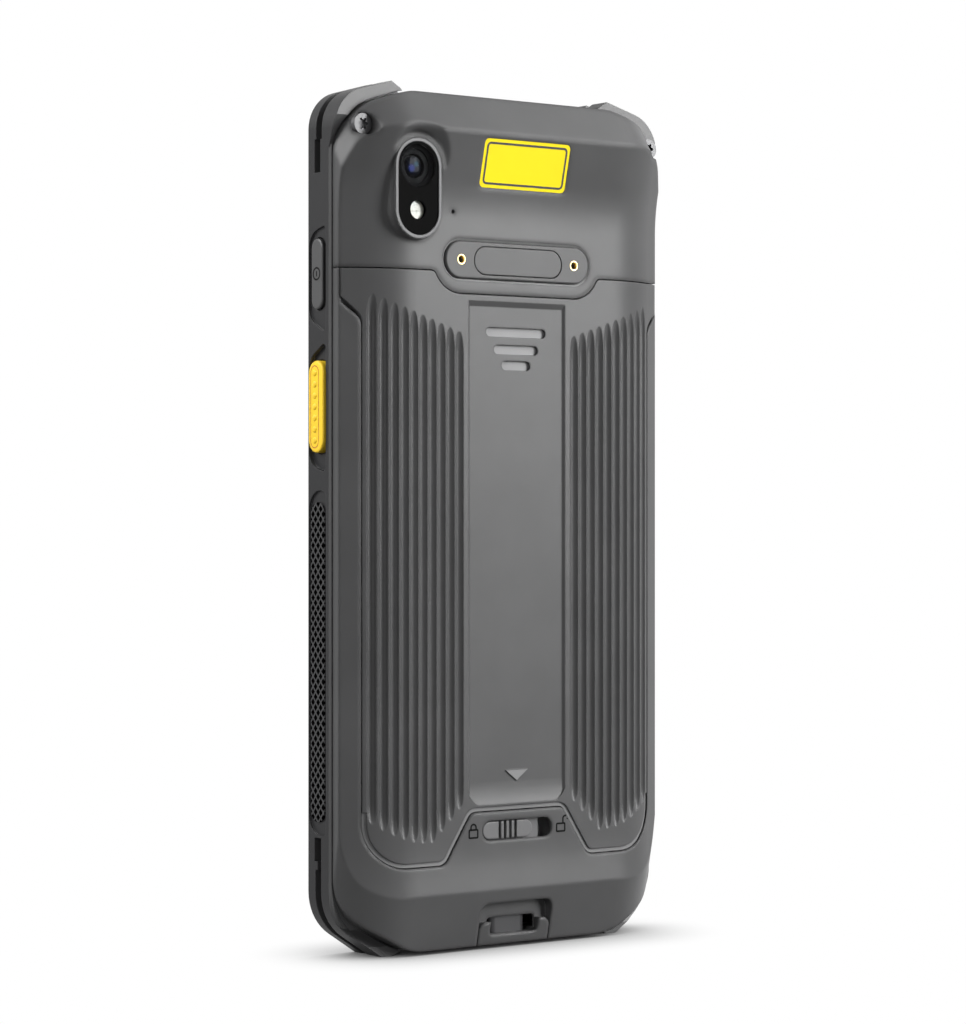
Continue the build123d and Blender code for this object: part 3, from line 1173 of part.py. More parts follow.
with BuildPart() as camera_module:
    behind_y = CAM_GLASS_Y - CAM_GLASS_T
    add(block((CAM_X - 4.2, CAM_X + 4.2), (BOARD_BACK_Y, 3.4), (LENS_Z - 4.2, LENS_Z + 4.2), 0.8))
    add(disc(CAM_X, LENS_Z, (3.4, behind_y - 0.5), LENS_R))
    bowl = disc(CAM_X, LENS_Z, (behind_y - 1.2, FAR), 2.3)
    add(bowl, mode=Mode.SUBTRACT)
camera_module.part.label = "camera_module"
export_step(camera_module.part, "parts/camera_module.step")

with BuildPart() as camera_lens_ring:
    add(disc(CAM_X, LENS_Z, (behind_y - 1.0, behind_y - 0.1), LENS_RING_R))
    add(disc(CAM_X, LENS_Z, (behind_y - 1.0, behind_y), LENS_R + 0.01), mode=Mode.SUBTRACT)
camera_lens_ring.part.label = "camera_lens_ring"
export_step(camera_lens_ring.part, "parts/camera_lens_ring.step")

with BuildPart() as flash_lens:
    add(disc(CAM_X, FLASH_Z, (behind_y - 0.9, behind_y), FLASH_R))
flash_lens.part.label = "flash_lens"
export_step(flash_lens.part, "parts/flash_lens.step")

with BuildPart() as label_plate:
    add(block((LABEL_X[0] + 0.05, LABEL_X[1] - 0.05), (0, FAR), (LABEL_Z[0] + 0.05, LABEL_Z[1] - 0.05), 0.95))
    add(rear_form(0.05), mode=Mode.INTERSECT)
    add(label_form, mode=Mode.SUBTRACT)
label_plate.part.label = "label_plate"
export_step(label_plate.part, "parts/label_plate.step")

# ---- Scanner ----
with BuildPart() as scan_engine:
    body_z = (TOP_FLAT_Z - 16.0, TOP_FLAT_Z - 3.7)
    add(block((-SCAN_HALF + 0.5, SCAN_HALF - 0.5), (BOARD_BACK_Y, 3.6), body_z, 0.8))
    mouth_z = (TOP_FLAT_Z - 9.0, TOP_FLAT_Z - 2.0)
    mouth = block((-SCAN_HALF + 2.0, SCAN_HALF - 2.0), (BOARD_BACK_Y + 0.9, 2.6), mouth_z)
    add(mouth, mode=Mode.SUBTRACT)
scan_engine.part.label = "scan_engine"
export_step(scan_engine.part, "parts/scan_engine.step")

with BuildPart() as scan_window:
    add(block((-SCAN_HALF, SCAN_HALF), SCAN_Y, (TOP_FLAT_Z - 1.6, TOP_FLAT_Z - 0.6)))
scan_window.part.label = "scan_window"
export_step(scan_window.part, "parts/scan_window.step")

# ---- Side keys ----
KEY_SWITCH_X = (HALF_WIDTH - 4.9, HALF_WIDTH - 4.3)
KEY_BOARD_Y = (-6.6, -2.2)


def side_key(side, z, length, width, proud):
    """Key that slides in its hole, held by a flange inside the wall."""
    inner_x = inner_half + KEY_WALL + KEY_TRAVEL + 0.05
    xs = sorted((side * inner_x, side * (HALF_WIDTH + proud)))
    with BuildPart() as key:
        add(side_pill(xs, KEY_Y, z, length, width))
        ends = key.edges().group_by(Axis.X)[-1 if side > 0 else 0]
        fillet(ends, 0.35)
        flange = sorted((side * KEY_INNER_X, side * (KEY_INNER_X + KEY_FLANGE_T)))
        half = length / 2 + KEY_FLANGE_OVER
        add(block(flange, KEY_FLANGE_Y, (z - half, z + half)))
        neck = length / 2 - KEY_NECK_IN
        add(block(sorted((side * KEY_INNER_X, side * (inner_x + 0.1))), KEY_FLANGE_Y, (z - neck, z + neck)))
        plunger = sorted((side * (KEY_SWITCH_X[1] + KEY_TRAVEL + 0.1), side * (KEY_INNER_X + 0.1)))
        add(block(plunger, (KEY_Y - 0.6, KEY_Y + 0.6), (z - 0.6, z + 0.6)))
    return key.part


with BuildPart() as scan_trigger_right:
    add(side_key(1, TRIGGER_Z, TRIGGER_LENGTH, TRIGGER_WIDTH, TRIGGER_PROUD))
scan_trigger_right.part.label = "scan_trigger_right"
export_step(scan_trigger_right.part, "parts/scan_trigger_right.step")

with BuildPart() as scan_trigger_left:
    add(side_key(-1, TRIGGER_Z, TRIGGER_LENGTH, TRIGGER_WIDTH, TRIGGER_PROUD))
scan_trigger_left.part.label = "scan_trigger_left"
export_step(scan_trigger_left.part, "parts/scan_trigger_left.step")

with BuildPart() as power_key:
    add(side_key(1, POWER_Z, POWER_LENGTH, POWER_WIDTH, POWER_PROUD))
power_key.part.label = "power_key"
export_step(power_key.part, "parts/power_key.step")

with BuildPart() as volume_key:
    add(side_key(-1, POWER_Z, POWER_LENGTH, POWER_WIDTH, POWER_PROUD))
volume_key.part.label = "volume_key"
export_step(volume_key.part, "parts/volume_key.step")

with BuildPart() as key_switches:
    for side in (1, -1):
        xs = sorted((side * KEY_SWITCH_X[0], side * KEY_SWITCH_X[1]))
        for z in (TRIGGER_Z, POWER_Z):
            add(block(xs, (KEY_Y - 1.0, KEY_Y + 1.0), (z - 1.6, z + 1.6)))
key_switches.part.label = "key_switches"
export_step(key_switches.part, "parts/key_switches.step")

with BuildPart() as side_key_boards:
    for side in (1, -1):
        xs = sorted((side * SIDE_BOARD_X, side * KEY_SWITCH_X[0]))
        add(block(xs, KEY_BOARD_Y, (TRIGGER_Z - 10.9, POWER_Z + 7.8)))
side_key_boards.part.label = "side_key_boards"
export_step(side_key_boards.part, "parts/side_key_boards.step")

# ---- Side grips ----
GRIP_Y = (panel_front_y + 0.5, panel_back_y - 0.5)
GRIP_Z = (25.4, TRIGGER_Z - 17.8)
GRIP_T = 0.35
with BuildPart() as side_grip_right:
    xs = (HALF_WIDTH - PANEL_DEPTH, HALF_WIDTH - PANEL_DEPTH + GRIP_T)
    add(side_pill(xs, sum(GRIP_Y) / 2, sum(GRIP_Z) / 2, GRIP_Z[1] - GRIP_Z[0], GRIP_Y[1] - GRIP_Y[0]))
side_grip_right.part.label = "side_grip_right"
export_step(side_grip_right.part, "parts/side_grip_right.step")

with BuildPart() as side_grip_left:
    add(mirror(side_grip_right.part, about=Plane.YZ))
side_grip_left.part.label = "side_grip_left"
export_step(side_grip_left.part, "parts/side_grip_left.step")
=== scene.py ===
import math

import bpy
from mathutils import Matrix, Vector

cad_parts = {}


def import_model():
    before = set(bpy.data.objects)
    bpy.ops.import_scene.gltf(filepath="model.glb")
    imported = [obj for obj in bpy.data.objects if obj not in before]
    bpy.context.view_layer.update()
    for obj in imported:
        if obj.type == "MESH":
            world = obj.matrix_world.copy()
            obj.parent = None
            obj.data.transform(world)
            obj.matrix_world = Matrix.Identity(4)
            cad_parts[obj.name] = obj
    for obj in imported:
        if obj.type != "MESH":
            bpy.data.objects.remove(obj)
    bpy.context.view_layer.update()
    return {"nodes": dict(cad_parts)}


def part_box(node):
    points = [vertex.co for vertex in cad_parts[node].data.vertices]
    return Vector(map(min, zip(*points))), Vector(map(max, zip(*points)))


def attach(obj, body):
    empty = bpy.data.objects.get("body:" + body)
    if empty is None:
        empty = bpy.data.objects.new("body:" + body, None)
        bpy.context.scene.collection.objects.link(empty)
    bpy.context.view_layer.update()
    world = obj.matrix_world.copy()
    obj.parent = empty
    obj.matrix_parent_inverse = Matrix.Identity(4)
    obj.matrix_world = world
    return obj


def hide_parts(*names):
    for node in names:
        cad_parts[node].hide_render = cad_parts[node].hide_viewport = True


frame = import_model()
MM = 0.001


# ---- Material helpers ----
def new_material(name):
    mat = bpy.data.materials.new(name)
    mat.use_nodes = True
    nodes = mat.node_tree.nodes
    nodes.clear()
    out = nodes.new("ShaderNodeOutputMaterial")
    shader = nodes.new("ShaderNodeBsdfPrincipled")
    mat.node_tree.links.new(shader.outputs["BSDF"], out.inputs["Surface"])
    return mat, nodes, mat.node_tree.links, shader


def finish(name, color, rough, metal=0.0, spread=0.08, grain=6000.0, bump=0.02, edge=0.12, coat=0.0,
           spec=0.5, blotch=60.0):
    """Plain moulded or metal finish: a slow colour drift, a fine grain in the surface, softened edges."""
    mat, nodes, links, shader = new_material(name)
    vector = nodes.new("ShaderNodeTexCoord").outputs["Object"]
    slow = nodes.new("ShaderNodeTexNoise")
    slow.inputs["Scale"].default_value = blotch
    slow.inputs["Detail"].default_value = 3.0
    links.new(vector, slow.inputs["Vector"])
    ramp = nodes.new("ShaderNodeValToRGB")
    ramp.color_ramp.elements[0].position = 0.3
    ramp.color_ramp.elements[1].position = 0.7
    ramp.color_ramp.elements[0].color = (*[c * (1 - spread) for c in color], 1)
    ramp.color_ramp.elements[1].color = (*[min(1.0, c * (1 + spread)) for c in color], 1)
    links.new(slow.outputs["Fac"], ramp.inputs["Fac"])
    links.new(ramp.outputs["Color"], shader.inputs["Base Color"])
    fine = nodes.new("ShaderNodeTexNoise")
    fine.inputs["Scale"].default_value = grain
    fine.inputs["Detail"].default_value = 2.0
    links.new(vector, fine.inputs["Vector"])
    spread_r = nodes.new("ShaderNodeMapRange")
    spread_r.inputs["To Min"].default_value = max(0.0, rough - 0.05)
    spread_r.inputs["To Max"].default_value = min(1.0, rough + 0.05)
    links.new(fine.outputs["Fac"], spread_r.inputs["Value"])
    links.new(spread_r.outputs["Result"], shader.inputs["Roughness"])
    soft = nodes.new("ShaderNodeBevel")
    soft.samples = 4
    soft.inputs["Radius"].default_value = edge * MM
    rough_bump = nodes.new("ShaderNodeBump")
    rough_bump.inputs["Strength"].default_value = bump
    rough_bump.inputs["Distance"].default_value = 0.05 * MM
    links.new(fine.outputs["Fac"], rough_bump.inputs["Height"])
    if edge:
        links.new(soft.outputs["Normal"], rough_bump.inputs["Normal"])
    links.new(rough_bump.outputs["Normal"], shader.inputs["Normal"])
    shader.inputs["Metallic"].default_value = metal
    shader.inputs["Coat Weight"].default_value = coat
    shader.inputs["Specular IOR Level"].default_value = spec
    return mat


def paint(obj, mat):
    obj.data.materials.clear()
    obj.data.materials.append(mat)


def parts_of(mat):
    """The nodes, links and Principled shader of a finish."""
    nodes = mat.node_tree.nodes
    return nodes, mat.node_tree.links, [n for n in nodes if n.type == "BSDF_PRINCIPLED"][0]


def maths(nodes, links, operation, first, second=None):
    """A Math node fed by sockets or plain numbers."""
    node = nodes.new("ShaderNodeMath")
    node.operation = operation
    for socket, value in zip(node.inputs, (first, second)):
        if value is None:
            continue
        if isinstance(value, (int, float)):
            socket.default_value = value
        else:
            links.new(value, socket)
    return node.outputs["Value"]


def distance(nodes, links, first, second):
    """Length of the flat vector with these two parts."""
    squares = [maths(nodes, links, "POWER", part, 2.0) for part in (first, second)]
    return maths(nodes, links, "SQRT", maths(nodes, links, "ADD", *squares))


def object_place(nodes, links):
    """Separate X, Y and Z of the shaded point in the object's own place, in metres."""
    where = nodes.new("ShaderNodeTexCoord")
    split = nodes.new("ShaderNodeSeparateXYZ")
    links.new(where.outputs["Object"], split.inputs["Vector"])
    return split


# The edge values soften the moulded edges, in millimetres.
GREY = (0.07, 0.07, 0.071)
MOULDED = {"rough": 0.33, "bump": 0.25, "grain": 9000.0, "spec": 0.2}
SHELL = finish("shell", GREY, edge=1.0, **MOULDED)
UPPER = finish("upper", GREY, edge=1.5, **MOULDED)
COVER = finish("cover", GREY, edge=0.4, **MOULDED)
# painted highlight: a lighter copy of the moulded grey, for the light that the cover's lower step catches
COVER_STEP_HIGHLIGHT = finish("cover_step_highlight", (0.18, 0.18, 0.182), 0.4, bump=0.1, edge=0.1, spec=0.2)
# painted highlight: a lighter grey for the light on the chamfer round the pad's pocket
POCKET_RIM_HIGHLIGHT = finish("pocket_rim_highlight", (0.3, 0.3, 0.302), 0.4, bump=0.1, edge=0.0, spec=0.2)
# painted highlight: a light grey for the sheen on the grip slots' floors
SLOT_FLOOR_HIGHLIGHT = finish("slot_floor_highlight", (0.25, 0.25, 0.253), 0.4, bump=0.05, edge=0.1, spec=0.2)
# painted shade: near black for the shaded ends of the grip slots
SLOT_END_SHADE = finish("slot_end_shade", (0.01, 0.01, 0.01), 0.6, bump=0.05, edge=0.0)
FRAME = finish("frame", (0.014, 0.014, 0.015), 0.42, bump=0.2, grain=9000.0, edge=0.25, spec=0.2)
STEEL = finish("steel", (0.42, 0.42, 0.43), 0.42, metal=1.0, bump=0.1)
SCREW = finish("screw", (0.09, 0.09, 0.092), 0.45, metal=0.6, bump=0.2, edge=0.06)
PORT = finish("port_shell", (0.05, 0.05, 0.052), 0.45, metal=0.3, bump=0.1, spec=0.2)
ALU = finish("alu", (0.55, 0.56, 0.58), 0.38, metal=1.0, bump=0.2)
RING = finish("ring", (0.09, 0.09, 0.092), 0.4, metal=0.2, bump=0.05, edge=0.25, spec=0.2)
LENS_RING = finish("lens_ring", (0.03, 0.03, 0.032), 0.4, bump=0.05, edge=0.15, spec=0.2)
GOLD = finish("gold", (0.85, 0.66, 0.32), 0.3, metal=1.0, bump=0.05, edge=0.04)
BLACK = finish("black_parts", (0.012, 0.012, 0.013), 0.35, bump=0.05)
HOLE = finish("hole", (0.004, 0.004, 0.004), 0.8, bump=0.0, edge=0.0)
RUBBER = finish("rubber_seal", (0.03, 0.03, 0.032), 0.7, bump=0.2)
SEAL = finish("silicone_seal", (0.14, 0.14, 0.15), 0.6, bump=0.2)
BOARD = finish("board", (0.01, 0.09, 0.045), 0.35, spread=0.25, blotch=900.0, bump=0.1)
FLEX = finish("flex", (0.35, 0.17, 0.03), 0.3, spread=0.15, bump=0.05)
BATTERY = finish("battery", (0.05, 0.05, 0.054), 0.45, bump=0.1)
TAPE = finish("tape", (0.5, 0.5, 0.47), 0.7, bump=0.5, grain=3000.0)
PAD = finish("pad", (0.07, 0.07, 0.071), 0.38, bump=0.15, edge=0.2, spec=0.2)
LATCH = finish("latch", (0.14, 0.14, 0.142), 0.4, bump=0.1, edge=0.15, spec=0.2)
TRIGGER = finish("trigger", (0.95, 0.62, 0.03), 0.45, bump=0.05, edge=0.5, spec=0.3)
# painted shade: dark orange for the shade in the trigger's oval groove
TRIGGER_GROOVE_SHADE = finish("trigger_groove_shade", (0.5, 0.17, 0.01), 0.45, bump=0.05, edge=0.0)
KEY = finish("key", (0.034, 0.034, 0.035), 0.4, bump=0.1, edge=0.3)
# painted highlight: a lighter copy of the frame's black for its back-facing faces
FRAME_BACK_HIGHLIGHT = finish("frame_back_highlight", (0.06, 0.06, 0.061), 0.42, bump=0.2, grain=9000.0, edge=0.15, spec=0.4)
KEY_LINE = finish("key_line", (0.003, 0.003, 0.003), 0.7, bump=0.05, edge=0.0, spec=0.1)
LABEL = finish("label", (0.93, 0.74, 0.003), 0.5, spread=0.03, bump=0.03, edge=0, spec=0.2)
LABEL_LINE = finish("label_line", (0.012, 0.012, 0.013), 0.45, bump=0.03, edge=0)
ICON = finish("icon", (0.006, 0.006, 0.006), 0.8, bump=0.05, edge=0, spec=0.1)
MARK = finish("mark", (0.16, 0.16, 0.162), 0.4, bump=0.05, edge=0.05)
GLASS = finish("display_glass", (0.008, 0.008, 0.01), 0.04, bump=0.0, coat=1.0, edge=0.1)
SCAN_RED = finish("scan_window", (0.06, 0.004, 0.006), 0.05, bump=0.0, coat=1.0, edge=0.1)
FLASH = finish("flash", (1.0, 0.95, 0.78), 0.3, spread=0.12, blotch=700.0, bump=0.1, edge=0.1)


def grip_material():
    """Rubber strip with rows of diamond-shaped holes, drawn across its width and along its length."""
    mat = finish("grip", (0.026, 0.026, 0.027), 0.55, bump=0.3, spec=GRIP_SHINE)
    nodes, links, shader = parts_of(mat)
    split = object_place(nodes, links)
    across = maths(nodes, links, "MULTIPLY", split.outputs["Y"], 1 / (GRIP_PITCH_Y * MM))
    along = maths(nodes, links, "MULTIPLY", split.outputs["Z"], 1 / (GRIP_PITCH_Z * MM))
    inside = None
    for operation in ("ADD", "SUBTRACT"):
        slant = maths(nodes, links, "FRACT", maths(nodes, links, operation, across, along))
        off = maths(nodes, links, "ABSOLUTE", maths(nodes, links, "SUBTRACT", slant, 0.5))
        band = maths(nodes, links, "LESS_THAN", off, GRIP_HOLE / 2)
        inside = band if inside is None else maths(nodes, links, "MULTIPLY", inside, band)
    mix = nodes.new("ShaderNodeMix")
    mix.data_type = "RGBA"
    base = shader.inputs["Base Color"].links[0].from_socket
    links.new(base, mix.inputs["A"])
    mix.inputs["B"].default_value = HOLE_BLACK
    links.new(inside, mix.inputs["Factor"])
    links.new(mix.outputs["Result"], shader.inputs["Base Color"])
    shine = maths(nodes, links, "MULTIPLY", maths(nodes, links, "SUBTRACT", 1.0, inside), GRIP_SHINE)
    links.new(shine, shader.inputs["Specular IOR Level"])
    return mat


def round_mask(nodes, links, split, x, z, radius, soft):
    """1 inside a circle seen from the back, 0 outside it."""
    dx = maths(nodes, links, "SUBTRACT", split.outputs["X"], x)
    dz = maths(nodes, links, "SUBTRACT", split.outputs["Z"], z)
    away = distance(nodes, links, dx, dz)
    fade = nodes.new("ShaderNodeMapRange")
    fade.inputs["From Min"].default_value = radius - soft
    fade.inputs["From Max"].default_value = radius + soft
    fade.inputs["To Min"].default_value = 1.0
    fade.inputs["To Max"].default_value = 0.0
    links.new(away, fade.inputs["Value"])
    return fade.outputs["Result"]


def window_material():
    """Camera window: black print with two clear circles, over the lens and over the flash."""
    mat = finish("camera_window", (0.002, 0.002, 0.002), 0.1, bump=0.0, edge=0.0, spec=0.004)
    nodes, links, shader = parts_of(mat)
    split = object_place(nodes, links)
    lens = round_mask(nodes, links, split, LENS.x, LENS.z, LENS_CLEAR_R * MM, PRINT_SOFT * MM)
    flash = round_mask(nodes, links, split, FLASH_AT.x, FLASH_AT.z, FLASH_CLEAR_R * MM, PRINT_SOFT * MM)
    clear = nodes.new("ShaderNodeBsdfTransparent")
    clear.inputs["Color"].default_value = (0.92, 0.93, 0.94, 1)
    mix = nodes.new("ShaderNodeMixShader")
    out = [n for n in nodes if n.type == "OUTPUT_MATERIAL"][0]
    through_lens = maths(nodes, links, "MULTIPLY", lens, LENS_CLEAR)
    through_flash = maths(nodes, links, "MULTIPLY", flash, FLASH_CLEAR)
    share = maths(nodes, links, "MAXIMUM", through_lens, through_flash)
    links.new(share, mix.inputs["Fac"])
    links.new(shader.outputs["BSDF"], mix.inputs[1])
    links.new(clear.outputs["BSDF"], mix.inputs[2])
    links.new(mix.outputs["Shader"], out.inputs["Surface"])
    return mat


def lens_material():
    """Front element of the camera: near black, with a blue and a teal painted reflection of its coating that
    glows by emission.
    """
    mat = finish("lens_element", (0.004, 0.005, 0.012), 0.1, bump=0.0, edge=0.0, coat=0.5)
    nodes, links, shader = parts_of(mat)
    split = object_place(nodes, links)
    total = None
    for x, z, radius, color in LENS_PAINTED_GLINTS:
        spot = round_mask(nodes, links, split, x * MM, z * MM, radius * MM, PAINTED_GLINT_SOFT * MM)
        tint = nodes.new("ShaderNodeMix")
        tint.data_type = "RGBA"
        tint.inputs["A"].default_value = (0, 0, 0, 1)
        tint.inputs["B"].default_value = (*color, 1)
        links.new(spot, tint.inputs["Factor"])
        if total is None:
            total = tint.outputs["Result"]
            continue
        both = nodes.new("ShaderNodeMix")
        both.data_type = "RGBA"
        both.blend_type = "ADD"
        both.inputs["Factor"].default_value = 1.0
        links.new(total, both.inputs["A"])
        links.new(tint.outputs["Result"], both.inputs["B"])
        total = both.outputs["Result"]
    # painted reflections: the glints glow by emission
    links.new(total, shader.inputs["Emission Color"])
    shader.inputs["Emission Strength"].default_value = 1.0
    return mat


def middle(node):
    low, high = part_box(node)
    return (low + high) / 2


GRIP_PITCH_Y = 1.7  # diamonds across and along the grips
GRIP_PITCH_Z = 1.95
GRIP_HOLE = 0.72  # share of the pitch that a hole takes
GRIP_SHINE = 0.3
HOLE_BLACK = (0.001, 0.001, 0.001, 1)
LENS = middle("camera_lens_ring")
FLASH_AT = middle("flash_lens")
LENS_CLEAR_R = 4.0
FLASH_CLEAR_R = 1.75
LENS_CLEAR = 0.5  # how clear the window is in the two circles
FLASH_CLEAR = 0.95
PRINT_SOFT = 0.03  # half width of the soft edge of the black print
LENS_PAINTED_GLINTS = (  # painted reflections that glow: place from the lens axis, radius and colour
    (0.45, -0.35, 0.6, (0.02, 0.08, 0.7)),
    (-0.55, 0.45, 0.4, (0.03, 0.3, 0.45)),
    (0.0, 0.0, 1.5, (0.004, 0.008, 0.03)),
)
PAINTED_GLINT_SOFT = 0.3
GRIP = grip_material()
WINDOW = window_material()
LENS_GLASS = lens_material()

LOOKS = {
    "front_frame": FRAME, "display_glass": GLASS, "display_gasket": RUBBER, "display_module": BLACK,
    "earpiece_mesh": STEEL, "earpiece": BLACK, "front_camera": BLACK, "chassis_plate": ALU,
    "chassis_screws": STEEL, "main_board": BOARD, "sub_board": BOARD, "flex_cable": FLEX,
    "shield_cans": STEEL, "card_socket": STEEL, "rear_housing": SHELL, "housing_screws": STEEL,
    "battery_pack": BATTERY, "battery_pull_tab": TAPE, "battery_contacts": BLACK, "battery_seal": SEAL,
    "battery_cover": COVER, "cover_antenna": FLEX, "latch_slider": LATCH, "latch_retainer": LATCH,
    "usb_port": PORT, "usb_tongue": BLACK, "usb_insert": SHELL, "upper_cover": UPPER,
    "upper_cover_screws": SCREW, "accessory_pad": PAD, "accessory_plug": PAD, "accessory_contacts": GOLD,
    "camera_ring": RING, "camera_window": WINDOW, "camera_module": BLACK, "camera_lens_ring": LENS_RING,
    "flash_lens": FLASH, "label_plate": LABEL, "scan_engine": BLACK, "scan_window": SCAN_RED,
    "scan_trigger_right": TRIGGER, "scan_trigger_left": TRIGGER, "power_key": KEY, "volume_key": KEY,
    "key_switches": STEEL, "side_key_boards": BOARD, "side_grip_right": GRIP, "side_grip_left": GRIP,
}
for node, mat in LOOKS.items():
    paint(frame["nodes"][node], mat)


# ---- Detail meshes ----
def mesh_object(name, verts, faces, mat, body, smooth=False):
    """A mesh that rides on a body and stands in its place at rest."""
    data = bpy.data.meshes.new(name)
    data.from_pydata(verts, [], faces)
    data.update()
    if smooth:
        data.polygons.foreach_set("use_smooth", [True] * len(data.polygons))
    obj = bpy.data.objects.new(name, data)
    bpy.context.scene.collection.objects.link(obj)
    paint(obj, mat)
    if body:
        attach(obj, body)
    return obj


def surface_y(node, x, z):
    """Depth of a CAD node's back surface at x and z, in metres."""
    hit, where, _, _ = frame["nodes"][node].ray_cast(Vector((x, 0.05, z)), Vector((0, -1, 0)))
    return where.y if hit else None


def ribbon(points, width, closed=False):
    """The two edges of a band of that width along flat points."""
    count = len(points)
    left, right = [], []
    for i, point in enumerate(points):
        before = points[i - 1] if closed or i > 0 else point
        after = points[(i + 1) % count] if closed or i < count - 1 else point
        run = (Vector(after) - Vector(before)).normalized()
        side = Vector((-run.y, run.x)) * width / 2
        left.append(Vector(point) + side)
        right.append(Vector(point) - side)
    return left, right


def line_on(name, node, points, width, mat, body, closed=False, lift=0.03):
    """A thin band laid on a CAD node's back surface, along flat points in millimetres."""
    left, right = ribbon(points, width, closed)
    verts = []
    for pair in zip(left, right):
        for point in pair:
            x, z = point.x * MM, point.y * MM
            verts.append((x, surface_y(node, x, z) + lift * MM, z))
    count = len(points)
    faces = []
    for i in range(count if closed else count - 1):
        a, b = 2 * i, 2 * ((i + 1) % count)
        faces.append((a, a + 1, b + 1, b))
    return mesh_object(name, verts, faces, mat, body)


def line_beside(name, side_x, points, width, mat, body, closed=False):
    """A thin band laid on a side face at side_x, along flat (depth, height) points in millimetres."""
    left, right = ribbon(points, width, closed)
    verts = [(side_x * MM, point.x * MM, point.y * MM) for pair in zip(left, right) for point in pair]
    count = len(points)
    faces = []
    for i in range(count if closed else count - 1):
        a, b = 2 * i, 2 * ((i + 1) % count)
        faces.append((a, a + 1, b + 1, b))
    return mesh_object(name, verts, faces, mat, body)


def rounded_rectangle(x_span, z_span, radius, steps=6):
    points = []
    for cx, cz, start in (
        (x_span[1] - radius, z_span[1] - radius, 0),
        (x_span[0] + radius, z_span[1] - radius, 90),
        (x_span[0] + radius, z_span[0] + radius, 180),
        (x_span[1] - radius, z_span[0] + radius, 270),
    ):
        for step in range(steps + 1):
            t = math.radians(start + 90 * step / steps)
            points.append((cx + radius * math.cos(t), cz + radius * math.sin(t)))
    return points


def arc(centre, radius, start, end, steps=12):
    """Points on an arc, its angles in degrees."""
    turn = [math.radians(start + (end - start) * i / steps) for i in range(steps + 1)]
    return [(centre[0] + radius * math.cos(t), centre[1] + radius * math.sin(t)) for t in turn]


def turned(name, profile, centre, mat, body, steps=48):
    """A body of revolution about an axis along +Y, from (radius, depth) points in millimetres."""
    verts, faces = [], []
    for step in range(steps):
        t = 2 * math.pi * step / steps
        for radius, depth in profile:
            verts.append(
                (centre.x + radius * MM * math.cos(t), depth * MM, centre.z + radius * MM * math.sin(t))
            )
    rows = len(profile)
    for step in range(steps):
        a, b = rows * step, rows * ((step + 1) % steps)
        for row in range(rows - 1):
            faces.append((a + row, a + row + 1, b + row + 1, b + row))
    return mesh_object(name, verts, faces, mat, body, smooth=True)


LABEL_INSET = 0.8
LABEL_CORNER_R = 0.7
LABEL_LINE_WIDTH = 0.42


def label_border():
    """Thin line round the yellow plate, a little inside its edge."""
    low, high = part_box("label_plate")
    x_span = (low.x / MM + LABEL_INSET, high.x / MM - LABEL_INSET)
    z_span = (low.z / MM + LABEL_INSET, high.z / MM - LABEL_INSET)
    border = rounded_rectangle(x_span, z_span, LABEL_CORNER_R)
    line_on("label_border", "label_plate", border, LABEL_LINE_WIDTH, LABEL_LINE, "terminal", True)


LOCK_X = 10.5  # the lock marks beside the latch
LOCK_Z = 22.7
LOCK_HALF = 1.0
LOCK_LOW_Z = LOCK_Z - 1.1
LOCK_HIGH_Z = LOCK_LOW_Z + 1.5
LOCK_LINE_WIDTH = 0.36
SHACKLE_R = 0.6
SHACKLE_RISE = 0.45
OPEN_SHACKLE_R = 0.55
OPEN_SHACKLE_RISE = 0.9
OPEN_SHACKLE_END = 200  # the open shackle's arc ends here, in degrees


def lock_mark(name, x, open_lock):
    """Padlock outline; the open one has its shackle drawn up and aside."""
    body = rounded_rectangle((x - LOCK_HALF, x + LOCK_HALF), (LOCK_LOW_Z, LOCK_HIGH_Z), 0.12, 2)
    line_on(name + "_body", "rear_housing", body, LOCK_LINE_WIDTH, ICON, "terminal", True)
    if open_lock:
        bend_z = LOCK_HIGH_Z + OPEN_SHACKLE_RISE
        shackle = [(x - OPEN_SHACKLE_R, LOCK_HIGH_Z), (x - OPEN_SHACKLE_R, bend_z)]
        shackle += arc((x - 2 * OPEN_SHACKLE_R, bend_z), OPEN_SHACKLE_R, 0, OPEN_SHACKLE_END)
    else:
        bend_z = LOCK_HIGH_Z + SHACKLE_RISE
        shackle = [(x + SHACKLE_R, LOCK_HIGH_Z), (x + SHACKLE_R, bend_z)]
        shackle += arc((x, bend_z), SHACKLE_R, 0, 180)
        shackle.append((x - SHACKLE_R, LOCK_HIGH_Z))
    line_on(name + "_shackle", "rear_housing", shackle, LOCK_LINE_WIDTH, ICON, "terminal")


ARROW_HALF = 2.55
ARROW_Z = (32.0, 33.95)
ARROW_LIFT = 0.01


def cover_mark():
    """Lighter face of the arrow on the battery cover."""
    half, low, high = ARROW_HALF * MM, ARROW_Z[0] * MM, ARROW_Z[1] * MM
    y = surface_y("battery_cover", 0, sum(ARROW_Z) / 2 * MM) + ARROW_LIFT * MM
    verts = [(-half, y, high), (half, y, high), (0, y, low)]
    mesh_object("cover_mark", verts, [(0, 2, 1)], MARK, "battery_cover")


KEY_Y = -5.1  # middle of the side keys
KEY_LIFT = 0.02  # lines stand this far off a key's face
OVAL_Y = KEY_Y - 0.35
OVAL_R = 1.3
OVAL_STRAIGHT_HALF = 6.35
OVAL_WIDTH = 0.2
BUMP_PITCH = 2.1


